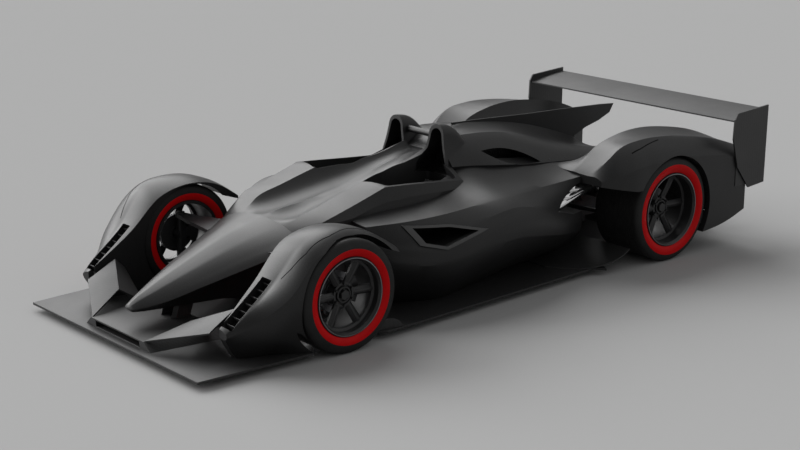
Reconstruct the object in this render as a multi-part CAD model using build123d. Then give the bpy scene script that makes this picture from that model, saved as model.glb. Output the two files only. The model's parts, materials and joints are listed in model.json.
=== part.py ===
from build123d import *
import os
from collections import namedtuple
from math import asin, cos, sin, sqrt

# Two-seat open racing car with a fender over each wheel.
# Millimetres. The nose points to -Y, the car's left is +X and up is +Z.
# The origin is on the ground, at the middle of the length.

# Driving dimensions
WHEELBASE = 2806.0
FRONT_OVERHANG = 1008.0
REAR_OVERHANG = 955.0
FRONT_TRACK = 1660.0
REAR_TRACK = 1540.0
OVERALL_WIDTH = 2000.0

# Ground clearance and floor plates
FLOOR_BOTTOM = 40.0
FLOOR_THICKNESS = 14.0
FLOOR_TOP = FLOOR_BOTTOM + FLOOR_THICKNESS

# Tyres and rims
FRONT_TYRE_RADIUS = 338.0
FRONT_TYRE_WIDTH = 310.0
FRONT_RIM_RADIUS = 234.0
FRONT_DISH = 78.0
REAR_TYRE_RADIUS = 358.0
REAR_TYRE_WIDTH = 400.0
REAR_RIM_RADIUS = 250.0
REAR_DISH = 112.0
TYRE_WALL = 16.0
TYRE_SHOULDER = 26.0
FLANGE_HEIGHT = 12.0
FLANGE_THICKNESS = 8.0
BARREL_WALL = 8.0
SPOKE_COUNT = 6
SPOKE_WIDTH = 54.0
SPOKE_THICKNESS = 24.0
SPOKE_RING_HEIGHT = 16.0
HUB_RADIUS = 74.0
HUB_LENGTH = 62.0
NUT_ACROSS = 62.0
NUT_HEIGHT = 26.0
SPINDLE_RADIUS = 32.0
SPINDLE_CLEARANCE = 0.08
FACE_GAP = 0.3

# Brakes
DISC_RADIUS = 124.0
DISC_THICKNESS = 28.0
DISC_BAND = 46.0
CALIPER_ARC = 70.0
CALIPER_CLEARANCE = 6.0

# Steering
KINGPIN_INSET = 60.0
KINGPIN_RADIUS = 14.0
KINGPIN_CLEARANCE = 0.08
KNUCKLE_RADIUS = 26.0
KNUCKLE_HALF_HEIGHT = 104.0
ARM_EYE_HEIGHT = 40.0
ARM_EYE_RADIUS = 30.0
ARM_EYE_GAP = 2.0

# Fender cavities
FRONT_ARCH_GAP = 6.0
FRONT_ARCH_REACH = 46.0
FRONT_LIP_GAP = 11.0
REAR_ARCH_GAP = 16.0
FENDER_WALL = 14.0

# Cockpit
BAY_FLOOR = 120.0
BAY_CORNER = 40.0
SEAT_THICKNESS = 34.0
SEAT_GAP = 12.0
STEERING_WHEEL_RADIUS = 128.0

# Panels
PANEL = 10.0
FIN_THICKNESS = 9.0
ENDPLATE_THICKNESS = 12.0
ENDPLATE_STANDOFF = 4.0
WING_THICKNESS = 34.0
LOUVRE_COUNT = 7
LOUVRE_THICKNESS = 5.0
LOUVRE_DEPTH = 46.0
STRAKE_COUNT = 4
STRAKE_THICKNESS = 8.0

# Derived places
LENGTH = FRONT_OVERHANG + WHEELBASE + REAR_OVERHANG
FRONT_AXLE_Y = FRONT_OVERHANG - LENGTH / 2
REAR_AXLE_Y = FRONT_AXLE_Y + WHEELBASE
FRONT_WHEEL_X = FRONT_TRACK / 2
REAR_WHEEL_X = REAR_TRACK / 2
FRONT_AXLE_Z = FRONT_TYRE_RADIUS
REAR_AXLE_Z = REAR_TYRE_RADIUS
KINGPIN_X = FRONT_WHEEL_X - KINGPIN_INSET
HALF_WIDTH = OVERALL_WIDTH / 2
ENDPLATE_IN = HALF_WIDTH - ENDPLATE_THICKNESS
FENDER_OUT = ENDPLATE_IN - ENDPLATE_STANDOFF
FRONT_ARCH_RADIUS = FRONT_TYRE_RADIUS + FRONT_ARCH_GAP
FRONT_LIP_RADIUS = FRONT_TYRE_RADIUS + FRONT_LIP_GAP
CLEAR = 1200.0

Wheel = namedtuple("Wheel", "radius width rim dish")
FRONT_WHEEL = Wheel(FRONT_TYRE_RADIUS, FRONT_TYRE_WIDTH, FRONT_RIM_RADIUS, FRONT_DISH)
REAR_WHEEL = Wheel(REAR_TYRE_RADIUS, REAR_TYRE_WIDTH, REAR_RIM_RADIUS, REAR_DISH)

NODES = {}


def front(s):
    """Y of a station s millimetres behind the front axle."""
    return FRONT_AXLE_Y + s


def rear(s):
    """Y of a station s millimetres behind the rear axle."""
    return REAR_AXLE_Y + s


def mid(share):
    """Y of a station at a share of the wheelbase behind the front axle."""
    return FRONT_AXLE_Y + share * WHEELBASE


def bowed(start, end, bow):
    """A line, or an arc that bows to the left of its way by a share of its length."""
    start = Vector(*start)
    end = Vector(*end)
    if not bow:
        return Edge.make_line(start, end)
    along = end - start
    side = Vector(-along.Z, 0, along.X)
    return Edge.make_three_point_arc(start, (start + end) * 0.5 + side * bow, end)


def ring(y, corners):
    """Closed wire across the car at y from (x, z, bow to the next corner) rows."""
    edges = []
    for here, after in zip(corners, corners[1:] + corners[:1]):
        edges.append(bowed((here[0], y, here[1]), (after[0], y, after[1]), here[2]))
    return Wire(edges)


def both_sides(half):
    """Whole ring from a left half that runs from the top centre to the bottom centre."""
    far = []
    for here, after in zip(half[-2::-1], half[:0:-1]):
        far.append((-after[0], after[1], here[2]))
    return half[:-1] + far


def skin(wires, ruled=False):
    """Solid through a row of closed wires."""
    return Solid.make_loft(wires, ruled)


def prism(points, axis, low, high):
    """Polygon of two-number points pushed along one axis from low to high."""
    if axis == "x":
        corners = [Vector(low, a, b) for a, b in points]
        way = (1, 0, 0)
    elif axis == "y":
        corners = [Vector(a, low, b) for a, b in points]
        way = (0, 1, 0)
    else:
        corners = [Vector(a, b, low) for a, b in points]
        way = (0, 0, 1)
    return extrude(Face(Wire.make_polygon(corners)), high - low, dir=way)


def block(x0, x1, y0, y1, z0, z1):
    """Box between two corners."""
    centre = Pos((x0 + x1) / 2, (y0 + y1) / 2, (z0 + z1) / 2)
    return centre * Box(x1 - x0, y1 - y0, z1 - z0)


def rod(start, end, radius):
    """Round bar between two points."""
    start = Vector(*start)
    along = Vector(*end) - start
    return Solid.make_cylinder(radius, along.length, Plane(start, z_dir=along))


def axle_rod(x0, x1, y, z, radius):
    """Round bar along X."""
    return rod((x0, y, z), (x1, y, z), radius)


def slab(near, far, thickness):
    """Thin plate between two edges, each given as two points, thickness upward."""
    up = Vector(0, 0, thickness)
    ends = []
    for edge in (near, far):
        first = Vector(*edge[0])
        last = Vector(*edge[1])
        ends.append(Wire.make_polygon([first, last, last + up, first + up]))
    return skin(ends, ruled=True)


def mirrored(shape):
    """The same shape on the car's right."""
    return mirror(shape, about=Plane.YZ)


def pair(shape):
    """A shape and its mirror image as one node."""
    return Compound(children=[Compound(shape.solids()), Compound(mirrored(shape).solids())])


def add(name, shape):
    """Keep a node."""
    NODES[name] = shape


def add_sides(name, shape):
    """Keep a left node and its right twin."""
    add(name + "_left", shape)
    add(name + "_right", mirrored(shape))


# Wheels, with the axle along X and the outer face to +X

def tyre(wheel):
    """Tyre carcass, open toward the rim."""
    seat = wheel.rim - FLANGE_HEIGHT + FACE_GAP
    half = wheel.width / 2
    bead = half - 2 * FLANGE_THICKNESS - FACE_GAP
    crown = wheel.radius
    belly = (seat + crown) / 2
    shoulder = crown - TYRE_SHOULDER
    flat = half - 1.4 * TYRE_SHOULDER
    edge = half - 5
    round_radius = ((edge - flat) ** 2 + TYRE_SHOULDER ** 2) / (2 * TYRE_SHOULDER)
    half_turn = asin((edge - flat) / round_radius) / 2
    bend_x = flat + round_radius * sin(half_turn)
    bend_z = crown - round_radius * (1 - cos(half_turn))
    profile = Wire([
        Edge.make_line((-bead, 0, seat), (bead, 0, seat)),
        Edge.make_line((bead, 0, seat), (bead, 0, seat + FLANGE_HEIGHT)),
        Edge.make_three_point_arc(
            (bead, 0, seat + FLANGE_HEIGHT), (half, 0, belly + 8), (edge, 0, shoulder)
        ),
        Edge.make_three_point_arc((edge, 0, shoulder), (bend_x, 0, bend_z), (flat, 0, crown)),
        Edge.make_line((flat, 0, crown), (-flat, 0, crown)),
        Edge.make_three_point_arc((-flat, 0, crown), (-bend_x, 0, bend_z), (-edge, 0, shoulder)),
        Edge.make_three_point_arc(
            (-edge, 0, shoulder), (-half, 0, belly + 8), (-bead, 0, seat + FLANGE_HEIGHT)
        ),
        Edge.make_line((-bead, 0, seat + FLANGE_HEIGHT), (-bead, 0, seat)),
    ])
    solid = revolve(Face(profile), Axis.X, 360)
    hollow = wheel.width - 2 * TYRE_WALL - 2 * FLANGE_THICKNESS
    cavity = axle_rod(-hollow / 2, hollow / 2, 0, 0, crown - TYRE_WALL)
    mouth = axle_rod(-half, half, 0, 0, seat)
    return solid - cavity - mouth


def spoke(wheel, inner_x, outer_x):
    """One spoke, chamfered on its outer face, from the hub to the ring."""
    ends = []
    low = HUB_RADIUS - 24
    high = wheel.rim - FLANGE_HEIGHT - BARREL_WALL - 2
    for radius, centre, width in ((low, inner_x, SPOKE_WIDTH - 8), (high, outer_x, SPOKE_WIDTH)):
        back = centre - SPOKE_THICKNESS / 2
        face = centre + SPOKE_THICKNESS / 2
        ends.append(Wire.make_polygon([
            Vector(back, -width / 2, radius),
            Vector(face - 9, -width / 2, radius),
            Vector(face, -width / 2 + 13, radius),
            Vector(face, width / 2 - 13, radius),
            Vector(face - 9, width / 2, radius),
            Vector(back, width / 2, radius),
        ]))
    return skin(ends, ruled=True)


def rim(wheel):
    """Deep rim with spokes, a hub and a six-sided centre nut."""
    half = wheel.width / 2
    edge = half - FLANGE_THICKNESS
    seat = wheel.rim - FLANGE_HEIGHT
    inside = seat - BARREL_WALL
    face_x = half - wheel.dish
    barrel = revolve(Face(Wire.make_polygon([
        Vector(-edge, 0, inside),
        Vector(-edge, 0, wheel.rim),
        Vector(FLANGE_THICKNESS - edge, 0, wheel.rim),
        Vector(FLANGE_THICKNESS - edge, 0, seat),
        Vector(edge - FLANGE_THICKNESS, 0, seat),
        Vector(edge - FLANGE_THICKNESS, 0, wheel.rim),
        Vector(edge, 0, wheel.rim),
        Vector(edge, 0, wheel.rim - 8),
        Vector(edge - 14, 0, inside + 1),
        Vector(face_x + SPOKE_THICKNESS / 2 + 6, 0, inside),
        Vector(face_x + SPOKE_THICKNESS / 2, 0, inside - SPOKE_RING_HEIGHT),
        Vector(face_x - SPOKE_THICKNESS / 2, 0, inside - SPOKE_RING_HEIGHT),
        Vector(face_x - SPOKE_THICKNESS, 0, inside),
    ])), Axis.X, 360)
    hub_x = hub_back(wheel)
    hub = axle_rod(hub_x, hub_x + HUB_LENGTH, 0, 0, HUB_RADIUS)
    solid = barrel + hub
    for number in range(SPOKE_COUNT):
        turn = Rot(360 / SPOKE_COUNT * (number + 0.5), 0, 0)
        solid += turn * spoke(wheel, hub_x + HUB_LENGTH - SPOKE_THICKNESS / 2 - 4, face_x)
    nut_face = hub_x + HUB_LENGTH
    recess = axle_rod(nut_face - 10, nut_face + 60, 0, 0, HUB_RADIUS - 14)
    nut = Pos(nut_face - 10, 0, 0) * Rot(0, 90, 0) * extrude(RegularPolygon(NUT_ACROSS / 2, 6), NUT_HEIGHT)
    bore = axle_rod(hub_x, hub_x + HUB_LENGTH - 14, 0, 0, SPINDLE_RADIUS + SPINDLE_CLEARANCE)
    return solid - recess + nut - bore


def hub_back(wheel):
    """Inner end of the hub, measured from the tyre's centre plane."""
    return wheel.width / 2 - wheel.dish - HUB_LENGTH + SPOKE_THICKNESS / 2 - 10


def disc_back(wheel):
    """Inner face of the brake disc."""
    return hub_back(wheel) - DISC_THICKNESS - 8


def brake_disc(wheel):
    """Brake disc on a bell that seats on the back of the hub."""
    back = disc_back(wheel)
    bell = axle_rod(back + 6, hub_back(wheel), 0, 0, DISC_RADIUS - DISC_BAND + 6)
    plate = axle_rod(back, back + DISC_THICKNESS, 0, 0, DISC_RADIUS)
    eye = axle_rod(back, hub_back(wheel), 0, 0, SPINDLE_RADIUS + 6)
    return bell + plate - eye


def caliper(wheel, start_angle):
    """Brake caliper astride the disc's edge, with the disc's slot cut through it."""
    back = disc_back(wheel)
    x0 = back - CALIPER_CLEARANCE - 22
    x1 = back + DISC_THICKNESS + CALIPER_CLEARANCE + 20
    low = DISC_RADIUS - DISC_BAND + 8
    high = DISC_RADIUS + 18
    sector = revolve(Face(Wire.make_polygon([
        Vector(x0, 0, low), Vector(x0, 0, high), Vector(x1, 0, high), Vector(x1, 0, low)
    ])), Axis.X, CALIPER_ARC)
    slot = axle_rod(
        back - CALIPER_CLEARANCE,
        back + DISC_THICKNESS + CALIPER_CLEARANCE,
        0, 0, DISC_RADIUS + CALIPER_CLEARANCE,
    )
    return Rot(start_angle, 0, 0) * (sector - slot)


def add_wheel(end, wheel, x, y):
    """The rim, tyre and disc of a wheel on each side."""
    place = Pos(x, y, wheel.radius)
    for piece, shape in (("rim", rim(wheel)), ("tyre", tyre(wheel)), ("disc", brake_disc(wheel))):
        left = place * shape
        add(end + "_left_" + piece, left)
        add(end + "_right_" + piece, mirrored(left))


add_wheel("front", FRONT_WHEEL, FRONT_WHEEL_X, FRONT_AXLE_Y)
add_wheel("rear", REAR_WHEEL, REAR_WHEEL_X, REAR_AXLE_Y)


# Nose and tub

NoseRow = namedtuple("NoseRow", "s z_top x_chine z_chine x_keel z_keel")
NOSE_ROWS = [
    NoseRow(-868, 222, 24, 206, 16, 194),
    NoseRow(-730, 308, 108, 252, 62, 196),
    NoseRow(-490, 412, 186, 346, 104, 200),
    NoseRow(-240, 508, 264, 432, 158, 190),
    NoseRow(100, 600, 396, 524, 300, FLOOR_TOP),
]


def nose_ring(row):
    """Domed top between two chines, undercut to a narrow keel."""
    corners = [(0, row.z_top, 0.02)]
    for share, bow in ((0.45, 0.02), (0.8, 0.03)):
        corners.append((share * row.x_chine, row.z_top - (row.z_top - row.z_chine) * share ** 2, bow))
    corners += [
        (row.x_chine, row.z_chine, -0.05),
        (row.x_keel, row.z_keel, 0),
        (0, row.z_keel, 0),
    ]
    return ring(front(row.s), both_sides(corners))


nose = skin([nose_ring(row) for row in NOSE_ROWS])
NOSE_END = front(NOSE_ROWS[-1].s)

TubRow = namedtuple("TubRow", "at z_mid x_crest z_crest x_rim z_rim x_base z_base x_side")
SCUTTLE_ROWS = [
    TubRow(0.090, 616, 208, 630, 350, 590, 430, 562, 420),
    TubRow(0.155, 626, 220, 706, 390, 678, 462, 612, 478),
    TubRow(0.226, 645, 238, 790, 418, 782, 478, 654, 490),
]
COCKPIT_ROWS = [
    SCUTTLE_ROWS[-1],
    TubRow(0.300, 694, 180, 774, 426, 750, 484, 652, 490),
    TubRow(0.390, 766, 126, 792, 432, 728, 486, 650, 490),
    TubRow(0.482, 806, 106, 822, 438, 724, 488, 654, 490),
]
TUB_HALF = 470.0
TUB_END = mid(COCKPIT_ROWS[-1].at)


def tub_ring(row):
    """Valley in the middle, a crest and an outer rim beside each seat."""
    half = [
        (0, row.z_mid, -0.05),
        (row.x_crest, row.z_crest, 0.02),
        (row.x_rim, row.z_rim, 0),
        (row.x_base, row.z_base, 0),
        (row.x_side, FLOOR_TOP, 0),
        (0, FLOOR_TOP, 0),
    ]
    return ring(mid(row.at), both_sides(half))


scuttle = skin([nose_ring(NOSE_ROWS[-1])] + [tub_ring(row) for row in SCUTTLE_ROWS])
tub = scuttle + skin([tub_ring(row) for row in COCKPIT_ROWS])
tub &= block(-TUB_HALF, TUB_HALF, NOSE_END, TUB_END, FLOOR_TOP, CLEAR)

BAY_FRONT = mid(0.236)
BAY_KNEE = mid(0.330)
BAY_BACK = mid(0.470)
BAY_INNER = 150.0
BAY_INNER_FRONT = 256.0
BAY_OUTER = 402.0
BAY_ROUND = 30.0
FOOTWELL_FRONT = mid(0.100)
FOOTWELL_INNER = BAY_INNER + 10
FOOTWELL_OUTER = BAY_OUTER - 40
FOOTWELL_TOP = 470.0


def bay():
    """Open space for one seat, with a footwell that runs forward under the scuttle."""
    plan = Face(Wire.make_polygon([
        Vector(BAY_INNER_FRONT, BAY_FRONT, BAY_FLOOR),
        Vector(BAY_OUTER, BAY_FRONT, BAY_FLOOR),
        Vector(BAY_OUTER, BAY_BACK, BAY_FLOOR),
        Vector(BAY_INNER, BAY_BACK, BAY_FLOOR),
        Vector(BAY_INNER, BAY_KNEE, BAY_FLOOR),
    ]))
    plan = fillet(plan.vertices(), BAY_ROUND)
    well = extrude(plan, CLEAR, dir=(0, 0, 1))
    foot = block(FOOTWELL_INNER, FOOTWELL_OUTER, FOOTWELL_FRONT, BAY_KNEE + 60, BAY_FLOOR, FOOTWELL_TOP)
    return well + foot


tub -= bay()
tub -= mirrored(bay())


# Roll hoops

HOOP_X = 182.0
HOOP_FRONT = mid(0.482)
HOOP_TOP = 1030.0
HOOP_FOOT = 690.0
HOOP_WALL = 32.0
HOOP_BOW = 0.40
HOOP_RAKE = 9.0
HoopRow = namedtuple("HoopRow", "back drop half_top half_foot")
HOOP_ROWS = [
    HoopRow(0, 0, 70, 146),
    HoopRow(120, 20, 74, 152),
    HoopRow(225, 112, 80, 160),
]


def hoop_ring(row, inset):
    """Arch with a round top and hollow flanks, set in from the outside by inset."""
    half_top = row.half_top - 0.7 * inset
    half_foot = row.half_foot - inset
    spring = HOOP_TOP - row.drop - inset - 2 * HOOP_BOW * half_top
    return ring(HOOP_FRONT + row.back, [
        (HOOP_X - half_top, spring, HOOP_BOW),
        (HOOP_X + half_top, spring, -0.04),
        (HOOP_X + half_foot, HOOP_FOOT, 0),
        (HOOP_X - half_foot, HOOP_FOOT, -0.04),
    ])


hoop = skin([hoop_ring(row, 0) for row in HOOP_ROWS])
hoop -= skin([
    hoop_ring(HOOP_ROWS[0]._replace(back=-1), HOOP_WALL),
    hoop_ring(HOOP_ROWS[1], HOOP_WALL + 4),
])
hoop_foot = Pos(0, HOOP_FRONT, HOOP_FOOT)
hoop = hoop_foot * Rot(HOOP_RAKE, 0, 0) * hoop_foot.inverse() * hoop


# Engine cover and fin

CoverRow = namedtuple("CoverRow", "at z_top x_top x_shoulder z_shoulder x_edge z_edge")
COVER_ROWS = [
    CoverRow(0.482, 846, 60, 236, 872, 444, 772),
    CoverRow(0.530, 918, 34, 226, 928, 438, 766),
    CoverRow(0.590, 950, 18, 208, 926, 430, 752),
    CoverRow(0.690, 934, 14, 200, 894, 424, 714),
    CoverRow(0.855, 846, 12, 200, 764, 436, 674),
    CoverRow(0.960, 752, 12, 214, 694, 468, 656),
    CoverRow(1.010, 700, 12, 230, 668, 480, 648),
]
COVER_UNDER = 46.0
COVER_TUCK = 26.0


def cover_ring(row):
    """Ridge that flares out to a shoulder, then falls to the edge."""
    half = [
        (0, row.z_top, 0),
        (row.x_top, row.z_top, -0.07),
        (row.x_shoulder, row.z_shoulder, 0.08),
        (row.x_edge, row.z_edge, 0),
        (row.x_edge - COVER_TUCK, row.z_edge - COVER_UNDER, 0),
        (0, row.z_edge - COVER_UNDER, 0),
    ]
    return ring(mid(row.at), both_sides(half))


def lens(front_tip, back_tip, bow, x0, x1):
    """Leaf shape seen from the side, pushed along X."""
    first = Vector(x0, *front_tip)
    last = Vector(x0, *back_tip)
    along = last - first
    side = Vector(0, -along.Z, along.Y)
    middle = (first + last) * 0.5
    outline = Wire([
        Edge.make_three_point_arc(first, middle + side * bow, last),
        Edge.make_three_point_arc(last, middle - side * bow, first),
    ])
    return extrude(Face(outline), x1 - x0, dir=(1, 0, 0))


cover = skin([cover_ring(row) for row in COVER_ROWS])
VENT_BOW = 0.09
VENT_INNER = 215.0
vent = lens((mid(0.572), 838), (mid(0.742), 708), VENT_BOW, VENT_INNER, 600)
cover = cover - vent - mirrored(vent)

FIN_OUTLINE = [
    (mid(0.590), 964), (mid(0.684), 953), (mid(0.837), 930), (mid(0.962), 918),
    (rear(307), 899), (rear(447), 888), (rear(407), 827), (rear(292), 783),
    (rear(156), 751), (rear(20), 696), (rear(-120), 676), (mid(0.900), 700),
    (mid(0.700), 850), (mid(0.600), 880),
]
fin = prism(FIN_OUTLINE, "x", -FIN_THICKNESS / 2, FIN_THICKNESS / 2)
for piece in (hoop, mirrored(hoop)):
    tub -= piece
    cover -= piece
cover -= fin
add("nose_cone", nose)
add("cockpit_tub", tub)
add_sides("roll_hoop", hoop)
add("engine_cover", cover)
add("shark_fin", fin)


# Floor plates

SPLITTER_FRONT_HALF = 905.0
SPLITTER_REAR_HALF = 948.0
SPLITTER_END = front(-250)
WAIST = 500.0
FLOOR_HALF = 932.0
FLOOR_END = rear(-246)
FLOOR_TAIL_HALF = 545.0


def plan_both(points):
    """Plan outline from its left half, front to back."""
    return points + [(-x, y) for x, y in reversed(points)]


splitter = prism(plan_both([
    (SPLITTER_FRONT_HALF, -LENGTH / 2), (SPLITTER_REAR_HALF, SPLITTER_END)
]), "z", FLOOR_BOTTOM, FLOOR_TOP)
add("front_splitter", splitter)

floor = prism(plan_both([
    (WAIST, SPLITTER_END), (WAIST, front(244)), (FLOOR_HALF - 42, front(262)), (FLOOR_HALF, front(310)),
    (FLOOR_HALF - 7, front(563)), (FLOOR_HALF - 74, mid(0.770)), (FLOOR_HALF - 2, mid(0.786)),
    (FLOOR_TAIL_HALF, rear(-380)), (FLOOR_TAIL_HALF, FLOOR_END),
]), "z", FLOOR_BOTTOM, FLOOR_TOP)
add("floor", floor)

DIFFUSER_HALF = 535.0
DIFFUSER_RISE = 190.0
DIFFUSER_KICK = 20.0
DIFFUSER_KNEE = rear(150)
DIFFUSER_END = rear(880)
diffuser = prism([
    (FLOOR_END, FLOOR_BOTTOM), (DIFFUSER_KNEE, FLOOR_BOTTOM + DIFFUSER_KICK),
    (DIFFUSER_END, FLOOR_BOTTOM + DIFFUSER_RISE), (DIFFUSER_END, FLOOR_TOP + DIFFUSER_RISE),
    (DIFFUSER_KNEE, FLOOR_TOP + DIFFUSER_KICK), (FLOOR_END, FLOOR_TOP),
], "x", -DIFFUSER_HALF, DIFFUSER_HALF)
strake_span = 2 * DIFFUSER_HALF - STRAKE_THICKNESS
for number in range(STRAKE_COUNT):
    x = strake_span * (number / (STRAKE_COUNT - 1) - 0.5)
    diffuser += prism([
        (DIFFUSER_KNEE, FLOOR_BOTTOM + DIFFUSER_KICK), (DIFFUSER_END, FLOOR_BOTTOM + DIFFUSER_RISE),
        (DIFFUSER_END, FLOOR_BOTTOM + DIFFUSER_RISE - 100), (DIFFUSER_KNEE + 110, FLOOR_BOTTOM + DIFFUSER_KICK - 4),
    ], "x", x - STRAKE_THICKNESS / 2, x + STRAKE_THICKNESS / 2)
add("diffuser", diffuser)


# Front fenders, with x measured from the wheel's middle

FenderRow = namedtuple("FenderRow", "y in_x in_z top_x top_z out_x out_z foot_x foot_z")
FENDER_NOSE_ROWS = [
    FenderRow(front(-750), -175, 262, -60, 214, -52, 196, -70, 186),
    FenderRow(front(-632), -185, 362, -38, 330, -15, 250, -95, FLOOR_TOP),
    FenderRow(front(-440), -190, 520, -5, 500, 54, 380, -10, FLOOR_TOP),
]
RoofRow = namedtuple("RoofRow", "s in_x in_skin top_x top_skin out_x out_drop foot_x")
FENDER_ROOF_ROWS = [
    RoofRow(-220, -190, 16, 20, 17, 116, 128, 100),
    RoofRow(0, -185, 14, 20, 32, 154, 74, 154),
    RoofRow(200, -175, 14, 20, 26, 154, 68, 154),
]
FENDER_TAIL_S = 393.0
FENDER_TAIL_RISE = 214.0
GROOVE_WIDTH = 4.0
GROOVE_DEPTH = 5.0


def roof_row(row):
    """Fender section over the wheel, a skin's thickness above the arch."""
    run = max(abs(row.s) - FRONT_ARCH_REACH, 0)
    arch = FRONT_AXLE_Z + sqrt(FRONT_ARCH_RADIUS ** 2 - run ** 2)
    top = arch + row.top_skin
    return FenderRow(
        front(row.s), row.in_x, arch + row.in_skin, row.top_x, top,
        row.out_x, top - row.out_drop, row.foot_x, FLOOR_TOP,
    )


def fender_ring(row, middle, lower=0):
    """Crowned top with a soft outer shoulder."""
    return ring(row.y, [
        (middle + row.in_x, row.in_z - lower, 0.05),
        (middle + row.top_x, row.top_z - lower, 0.10),
        (middle + row.out_x, row.out_z - lower, 0),
        (middle + row.foot_x, row.foot_z, 0),
        (middle + row.in_x, row.foot_z, 0),
    ])


def front_wheel_void():
    """Room for the front wheel at every steering angle."""
    y = FRONT_AXLE_Y
    z = FRONT_AXLE_Z
    x0 = FRONT_WHEEL_X - FRONT_TYRE_WIDTH / 2 - 8
    x1 = FRONT_WHEEL_X + FRONT_TYRE_WIDTH / 2 - FENDER_WALL + 2
    void = axle_rod(x0 - 200, x1 + 200, y, z, FRONT_LIP_RADIUS)
    for side in (-1, 1):
        void += axle_rod(x0, x1, y + side * FRONT_ARCH_REACH, z, FRONT_ARCH_RADIUS)
    lift = FRONT_ARCH_RADIUS
    void += block(x0, x1, y - FRONT_ARCH_REACH, y + FRONT_ARCH_REACH, z - lift, z + lift)
    return void


tail_z = FRONT_AXLE_Z + FENDER_TAIL_RISE
fender_rows = FENDER_NOSE_ROWS + [roof_row(row) for row in FENDER_ROOF_ROWS]
fender_rows.append(FenderRow(
    front(FENDER_TAIL_S), -154, tail_z - 8, 25, tail_z + 6, 116, tail_z - 30, 116, FLOOR_TOP
))
front_fender = skin([fender_ring(row, FRONT_WHEEL_X) for row in fender_rows])
fender_core = skin([fender_ring(row, FRONT_WHEEL_X, GROOVE_DEPTH) for row in fender_rows])
inside = FRONT_WHEEL_X - 400
outside = FRONT_WHEEL_X + 400
front_fender &= block(inside, outside, front(-800), front(450), FLOOR_TOP, CLEAR)
front_fender -= front_wheel_void()
front_fender -= prism([
    (front(FENDER_TAIL_S + 60), tail_z - 40), (front(FENDER_TAIL_S), tail_z - 28),
    (front(180), FRONT_AXLE_Z + 262), (front(180), 0), (front(FENDER_TAIL_S + 60), 0),
], "x", inside, outside)
groove_x = FRONT_WHEEL_X + 4
groove = block(groove_x, groove_x + GROOVE_WIDTH, front(-425), front(330), FRONT_AXLE_Z, CLEAR)
front_fender -= groove - fender_core

LOUVRE_X0 = FRONT_WHEEL_X - 168
LOUVRE_X1 = FRONT_WHEEL_X - 60
louvre_low = Vector(0, front(-706), 268)
louvre_high = Vector(0, front(-430), 492)
louvre_way = (louvre_high - louvre_low).normalized()
louvre_down = Vector(0, louvre_way.Z, -louvre_way.Y)
pocket = [
    louvre_low - louvre_down * 90, louvre_high - louvre_down * 90,
    louvre_high + louvre_down * LOUVRE_DEPTH, louvre_low + louvre_down * LOUVRE_DEPTH,
]
louvre_pocket = prism([(p.Y, p.Z) for p in pocket], "x", LOUVRE_X0, LOUVRE_X1)
front_fender -= louvre_pocket
add_sides("front_fender", front_fender)

louvres = None
for number in range(LOUVRE_COUNT):
    share = (number + 0.5) / LOUVRE_COUNT
    foot = louvre_low + (louvre_high - louvre_low) * share + louvre_down * LOUVRE_DEPTH
    tip = foot + Vector(0, -0.45 * LOUVRE_DEPTH, 0.80 * LOUVRE_DEPTH)
    thick = Vector(0, LOUVRE_THICKNESS, 0)
    corners = [foot, tip, tip + thick, foot + thick]
    slat = prism([(p.Y, p.Z) for p in corners], "x", LOUVRE_X0, LOUVRE_X1) - front_fender
    louvres = slat if louvres is None else louvres + slat
add("fender_louvres", pair(louvres))


# Front wing, deflectors and pylons

WING_FRONT = front(-956)
WING_BACK = front(-480)
WING_TOP = 106.0
WING_SLOT_HALF = 240.0
platform = skin([
    Wire.make_polygon([Vector(x, y, FLOOR_TOP) for x, y in plan_both([
        (352, WING_FRONT + 4), (420, WING_BACK)])]),
    Wire.make_polygon([Vector(x, y, WING_TOP) for x, y in plan_both([
        (288, WING_FRONT), (366, WING_BACK)])]),
], ruled=True)
platform -= block(
    -WING_SLOT_HALF, WING_SLOT_HALF, WING_FRONT - 50, WING_FRONT + 316, FLOOR_TOP + 6, WING_TOP - PANEL
)
add("front_wing", platform)

DEFLECTOR_ROOT = 286.0
DEFLECTOR_TIP = FRONT_WHEEL_X - 172
deflector = slab(
    [(DEFLECTOR_ROOT, WING_FRONT + 8, WING_TOP - 8), (DEFLECTOR_ROOT + 104, front(-700), 192)],
    [(DEFLECTOR_TIP, front(-756), 200), (DEFLECTOR_TIP, front(-560), 306)], PANEL,
)
deflector += slab(
    [(DEFLECTOR_ROOT + 104, front(-700), 192), (DEFLECTOR_ROOT + 60, front(-560), WING_TOP - 6)],
    [(DEFLECTOR_TIP, front(-560), 306), (DEFLECTOR_TIP, front(-500), 240)], PANEL,
)
deflector = deflector - platform - front_fender - louvre_pocket
add("deflectors", pair(deflector))

PYLON_X = 55.0
pylon_rings = []
for z, shift in ((WING_TOP, 0), (300, 62)):
    pylon_rings.append(Wire.make_polygon([Vector(PYLON_X + x, front(s + shift), z) for x, s in (
        (-3, -620), (9, -590), (3, -485), (-9, -485))]))
pylon = skin(pylon_rings, ruled=True) - nose
add("splitter_pylons", pair(pylon))


# Side pods

PodRow = namedtuple("PodRow", "y z_root x_lip z_lip x_crest z_crest x_bulge z_bulge x_foot")
POD_ROWS = [
    PodRow(front(421), 640, 600, 598, 644, 500, 672, 400, 500),
    PodRow(mid(0.228), 668, 722, 630, 796, 484, 826, 360, 540),
    PodRow(mid(0.320), 668, 752, 622, 850, 506, 886, 350, 662),
    PodRow(mid(0.430), 690, 746, 628, 860, 572, 902, 396, 618),
    PodRow(mid(0.510), 764, 728, 634, 852, 590, 896, 404, 566),
    PodRow(mid(0.590), 780, 700, 622, 830, 548, 872, 370, 500),
    PodRow(mid(0.700), 744, 650, 602, 764, 452, 796, 310, 438),
    PodRow(mid(0.780), 712, 612, 584, 676, 400, 690, 270, 424),
]
POD_INNER = 340.0
POD_END = POD_ROWS[-1].y


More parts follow.
